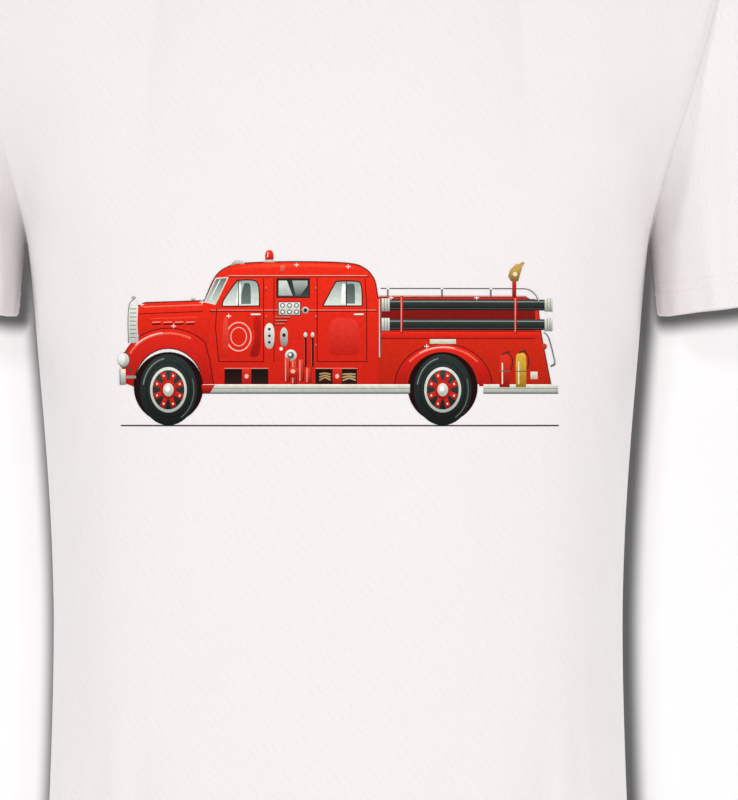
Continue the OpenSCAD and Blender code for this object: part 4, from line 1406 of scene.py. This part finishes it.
jersey = cloth_material("white_jersey", "f7f2f2", "f1ebeb", 0.00080, 0.00060, 0.00008, 0.00010)
rib_knit = cloth_material("white_rib_knit", "f6f1f1", "e9e3e3", 0.00105, 0.00070, 0.00012, 0.00003)
twill = cloth_material("white_neck_tape", "f4f0ee", "e4dfdc", 0.00120, 0.00120, 0.00010, 0.00005, sheen=0.05,
                       spacing=0.0012)
satin = cloth_material("white_label", "fbf9f7", "efecea", 0.00040, 0.00040, 0.00003, 0.00002, sheen=0.0, rough=0.45)
thread = cloth_material("white_thread", "f8f4f3", "e6e0df", 0.00040, 0.00030, 0.00004, 0.00002, sheen=0.1)
print("cloth materials:", [m.name for m in (jersey, rib_knit, twill, satin, thread)])

# %% [markdown]
# Screen ink is a thin layer of plastic that has sunk into the loops. It takes its colours from the film's own
# colour attribute, it is smoother than the cotton, and the knit still shows through it faintly.

# %% Ink
ink_material, tree, shader = new_material("printed_ink", Roughness=0.7, Specular_IOR_Level=0.07)
where = add(tree, "ShaderNodeUVMap", uv_map="cloth").outputs[0]
painted = add(tree, "ShaderNodeAttribute", attribute_name="ink", attribute_type="GEOMETRY")
grain = add(tree, "ShaderNodeTexNoise", {"Vector": where, "Scale": 420.0, "Detail": 3.0})
worn_tone = add(tree, "ShaderNodeMapRange", {"Value": grain.outputs[0], "From Min": 0.3, "From Max": 0.7,
                                             "To Min": 0.90, "To Max": 1.06})
tinted = add(tree, "ShaderNodeMix", {0: 1.0, 6: painted.outputs["Color"], 7: worn_tone.outputs[0]},
             data_type="RGBA", blend_type="MULTIPLY")
tree.links.new(tinted.outputs[2], shader.inputs["Base Color"])
loops = add(tree, "ShaderNodeGroup", {"Vector": where, "Wale width": 0.00080, "Course height": 0.00060},
            node_tree=knit)
bump = add(tree, "ShaderNodeBump", {"Height": loops.outputs["Height"], "Distance": 0.00004})
tree.links.new(bump.outputs[0], shader.inputs["Normal"])
print("ink reads the attribute", painted.attribute_name)

# %% [markdown]
# ## Finishing the pieces
# Now the trees run: the collar gets its ribs, and the stitch paths get their thread. Each result is a plain mesh.
# Then each piece gets its material and is tied to the body it moves with, and the CAD nodes that it stands for are
# hidden.

# %% Run the trees
apply_tree(collar, rib_tree, "rib_collar", Depth=0.00034, Finish=rib_knit)
apply_tree(hem_stitches, sew_tree, "hem_stitches", Finish=thread)
apply_tree(hem_loops, sew_tree, "hem_loops", Pitch=0.0017, Length=0.0062, Width=0.0004, Slant=1.15, Finish=thread)
apply_tree(neck_stitches, sew_tree, "neck_stitches", Finish=thread)
for piece in (hem_stitches, hem_loops, neck_stitches):
    if not piece.data.uv_layers:
        piece.data.uv_layers.new(name="cloth")

# %% Set the materials, and tie the pieces to the frame
finished = [  # piece, material, slot, and the CAD nodes it stands for
    (front, jersey, "jersey", "front_upper", "front_lower"), (back, jersey, "jersey", "back_upper", "back_lower"),
    (left_sleeve, jersey, "jersey", "left_sleeve"), (right_sleeve, jersey, "jersey", "right_sleeve"),
    (bottom_hem, jersey, "jersey", "bottom_hem"), (left_sleeve_hem, jersey, "jersey", "left_sleeve_hem"),
    (right_sleeve_hem, jersey, "jersey", "right_sleeve_hem"), (collar, rib_knit, "rib_knit", "collar"),
    (tape, twill, "tape", "neck_tape"), (label, satin, "label", "neck_label"),
    (picture, ink_material, "ink", "printed_picture"), (allowances[0], jersey, "jersey"),
    (allowances[1], jersey, "jersey"), (hem_stitches, thread, "jersey"), (hem_loops, thread, "jersey"),
    (neck_stitches, thread, "jersey")]
for piece, material, slot, *nodes in finished:
    if not piece.data.materials:  # the trees have set theirs
        piece.data.materials.append(material)
    piece.data.shade_smooth()
    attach(piece, "root")
    if nodes:
        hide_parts(*nodes)
print(len(finished), "pieces, and", sum(len(piece.data.polygons) for piece, *_ in finished), "faces")

# %% [markdown]
# The front, the back and the sleeves print the size they were cut to. The flat sizes come from the net before it
# was
# hung: the widest row and the longest column, and the area of its cells.

# %% Flat sizes of the cloth
def flat_size(grid, ring):
    closed = np.concatenate([grid, grid[:, :1]], 1) if ring else grid
    a, b = closed[1:, 1:] - closed[:-1, :-1], closed[1:, :-1] - closed[:-1, 1:]
    area = np.linalg.norm(np.cross(a, b), axis=2).sum() / 2
    level = closed if ring else closed[: BODY + 1]  # a panel's curved top edge is no measure of its width
    return (float(lengths(level, 1)[:, -1].max()), float(lengths(closed, 0)[-1].max())), float(area)


for piece, grid, is_ring in ((front, start[front_ids], False), (back, start[back_ids], False),
                             (left_sleeve, start[right_ids], True), (right_sleeve, start[left_ids], True)):
    flat, area = flat_size(grid, is_ring)
    print(piece.name, "cut to", [round(v, 3) for v in flat], "m,", round(area, 4), "m2")
for piece, width in ((bottom_hem, lengths(bottom_fine, 1)[0, -1]), (left_sleeve_hem, lengths(left_fine, 1)[-1, -1]),
                     (right_sleeve_hem, lengths(right_fine, 1)[-1, -1])):
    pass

# %% [markdown]
# ## Setting, light and camera
# The shirt is shown before a white wall, which carries a painted shadow round the shirt. Two soft lamps stand a
# little to the left and to the right of the camera, so the front is lit evenly and the knit throws fine shadows.
# Lamps from the sides and from above and behind keep the sides and the back readable. The wall and the floor show
# from their front only, so that they never hide the shirt from behind or below, and they let the rear lamps
# through.

# %% Wall and floor
def stage_material(name, see_through):
    """White, with a painted shadow where the attribute shade says so, and seen from the front only.

    see_through lets bounced light pass, so that the wall doesn't keep it from the shirt's back."""
    material, tree, shader = new_material(name, Roughness=0.9, Specular_IOR_Level=0.0)
    clear = add(tree, "ShaderNodeBsdfTransparent")
    rear = add(tree, "ShaderNodeNewGeometry").outputs["Backfacing"]
    path = add(tree, "ShaderNodeLightPath").outputs
    bounced = math_node(tree, "MULTIPLY", path["Is Diffuse Ray"], float(see_through))
    gone = math_node(tree, "MAXIMUM", rear, math_node(tree, "MAXIMUM", path["Is Shadow Ray"], bounced))
    blend = add(tree, "ShaderNodeMixShader", {0: gone, 1: shader.outputs[0], 2: clear.outputs[0]})
    tree.links.new(blend.outputs[0], tree.nodes["Material Output"].inputs["Surface"])
    # painted shadow: the wall's colour goes from white to dark grey where the attribute shade rises to 1
    depth = add(tree, "ShaderNodeAttribute", attribute_name="shade", attribute_type="GEOMETRY")
    colour = add(tree, "ShaderNodeMix", {0: depth.outputs["Fac"]}, data_type="RGBA")
    colour.inputs[6].default_value, colour.inputs[7].default_value = (0.98, 0.98, 0.98, 1), (0.13, 0.13, 0.13, 1)
    tree.links.new(colour.outputs[2], shader.inputs["Base Color"])
    return material


def stage_grid(name, xs, ys, zs, shade=None):
    """A flat grid of points. One of ys and zs is a single number."""
    x, y, z = np.meshgrid(xs, ys, zs)
    grid = np.stack([x, y, z], -1).squeeze()
    grid = np.swapaxes(grid, 0, 1) if np.isscalar(ys) else grid
    points = grid.reshape(-1, 3)
    mesh = plain_mesh(name, points, quads(grid_numbers(grid)))
    set_values(mesh, "shade", shade(points) if shade else np.zeros(len(points)))
    mesh.materials.append(stage_material("white_" + name, name != "floor"))
    place_object(name, mesh)


# %% [markdown]
# Where an object hangs close before a wall, the wall is dark in a narrow rim round it. Here that rim is a painted
# shadow in the wall's colour, not rendered shade, because rendering it takes many samples: only rays that graze the
# shirt find it. So the rim is worked out once: the shirt is laid flat on the wall as a lamp at the camera would
# cast it, and a BVH tree finds how far each point of the wall is from it. Behind the shirt the painted shadow fades
# paler.

# %% The painted shadow rim on the wall
wall_y, floor_z, eye = 0.128, -0.78, np.array([0.0174, -6.0, -0.3274])
rim_width, layers = 0.0115, 28  # and the steps over which the rim fades inwards
flat_cells, flat_points = [], np.zeros((0, 3))
for surface, ring in ((front_fine, False), (back_fine, False), (left_fine, True), (right_fine, True)):
    flat_cells.append(quads(grid_numbers(surface) + len(flat_points), ring))
    flat_points = np.concatenate([flat_points, surface.reshape(-1, 3)])
cast = eye + (flat_points - eye) * ((wall_y - eye[1]) / (flat_points[:, 1] - eye[1]))[:, None]
cast += [0.0025, 0, -0.0018]  # the light comes a little from the upper left
outline = BVHTree.FromPolygons(cast.tolist(), np.concatenate(flat_cells).tolist())
fine_x, fine_z = np.arange(-0.34, 0.3401, 0.002), np.arange(floor_z, 0.061, 0.002)


def painted_rim_shadow(points):
    """Painted shadow on the wall: 1 at the outline, 0 beyond the rim, paler again towards the middle of the shirt's
    place.
    """
    gap = [outline.find_nearest(Vector(p), rim_width + 0.001)[3] for p in points]
    u = np.clip(np.array([rim_width if g is None else g for g in gap]) / rim_width, 0, 1)
    behind = (u < 0.001).reshape(len(fine_z), len(fine_x))
    depth = np.zeros(behind.shape)
    for _ in range(layers):
        depth += behind
        behind[1:-1, 1:-1] &= behind[:-2, 1:-1] & behind[2:, 1:-1] & behind[1:-1, :-2] & behind[1:-1, 2:]
    for _ in range(12):
        depth[1:-1, 1:-1] = (depth[:-2, 1:-1] + depth[2:, 1:-1] + depth[1:-1, :-2] + depth[1:-1, 2:]) / 4
    return (1 - u * u * (3 - 2 * u)) * (1 - 0.7 * ease(depth.ravel() / layers))


stage_grid("wall", fine_x, wall_y, fine_z, painted_rim_shadow)
wide, high = 3, 3  # the wall goes on as plain planes on three sides
stage_grid("wall_left", [-wide, fine_x[0]], wall_y, [floor_z, high])
stage_grid("wall_right", [fine_x[-1], wide], wall_y, [floor_z, high])
stage_grid("wall_top", [fine_x[0], fine_x[-1]], wall_y, [fine_z[-1], high])
stage_grid("floor", [-6.0, 6.0], [-9.0, 6.0], floor_z)

# %% Lights, world and camera
def lamp(name, azimuth, elevation, strength, softness):
    """A sun at an azimuth round the shirt, 0 in front and 90 on the +X side."""
    light = bpy.data.lights.new(name, "SUN")
    light.energy, light.angle = strength, math.radians(softness)
    a, e = math.radians(azimuth), math.radians(elevation)
    towards = Vector((math.sin(a) * math.cos(e), -math.cos(a) * math.cos(e), math.sin(e)))
    place_object(name, light).rotation_euler = towards.to_track_quat("Z", "Y").to_euler()


for name, *numbers in (("key_left", -9, 9, 0.31, 4), ("key_right", 9, 5, 0.18, 4), ("side_left", -48, 10, 0.53, 10),
                       ("side_right", 48, 10, 0.53, 10), ("rear_left", -150, 28, 0.68, 20),
                       ("rear_right", 150, 28, 0.68, 20)):
    lamp(name, *numbers)
world = bpy.data.worlds.new("room")
bpy.context.scene.world = world
world.use_nodes = True
background = world.node_tree.nodes["Background"]
background.inputs["Color"].default_value = (1, 1, 1, 1)
seen = add(world.node_tree, "ShaderNodeLightPath").outputs["Is Camera Ray"]
strength = add(world.node_tree, "ShaderNodeMapRange", {"Value": seen, "To Min": 0.62, "To Max": 1.0})
world.node_tree.links.new(strength.outputs[0], background.inputs["Strength"])

camera_data = bpy.data.cameras.new("camera")
camera_data.sensor_width, camera_data.lens, camera_data.clip_end = 36, 480, 60
camera = place_object("camera", camera_data)
camera.location, camera.rotation_euler = eye, (math.pi / 2, 0, 0)
bpy.context.scene.camera = camera
bpy.context.scene.view_settings.view_transform = "Standard"
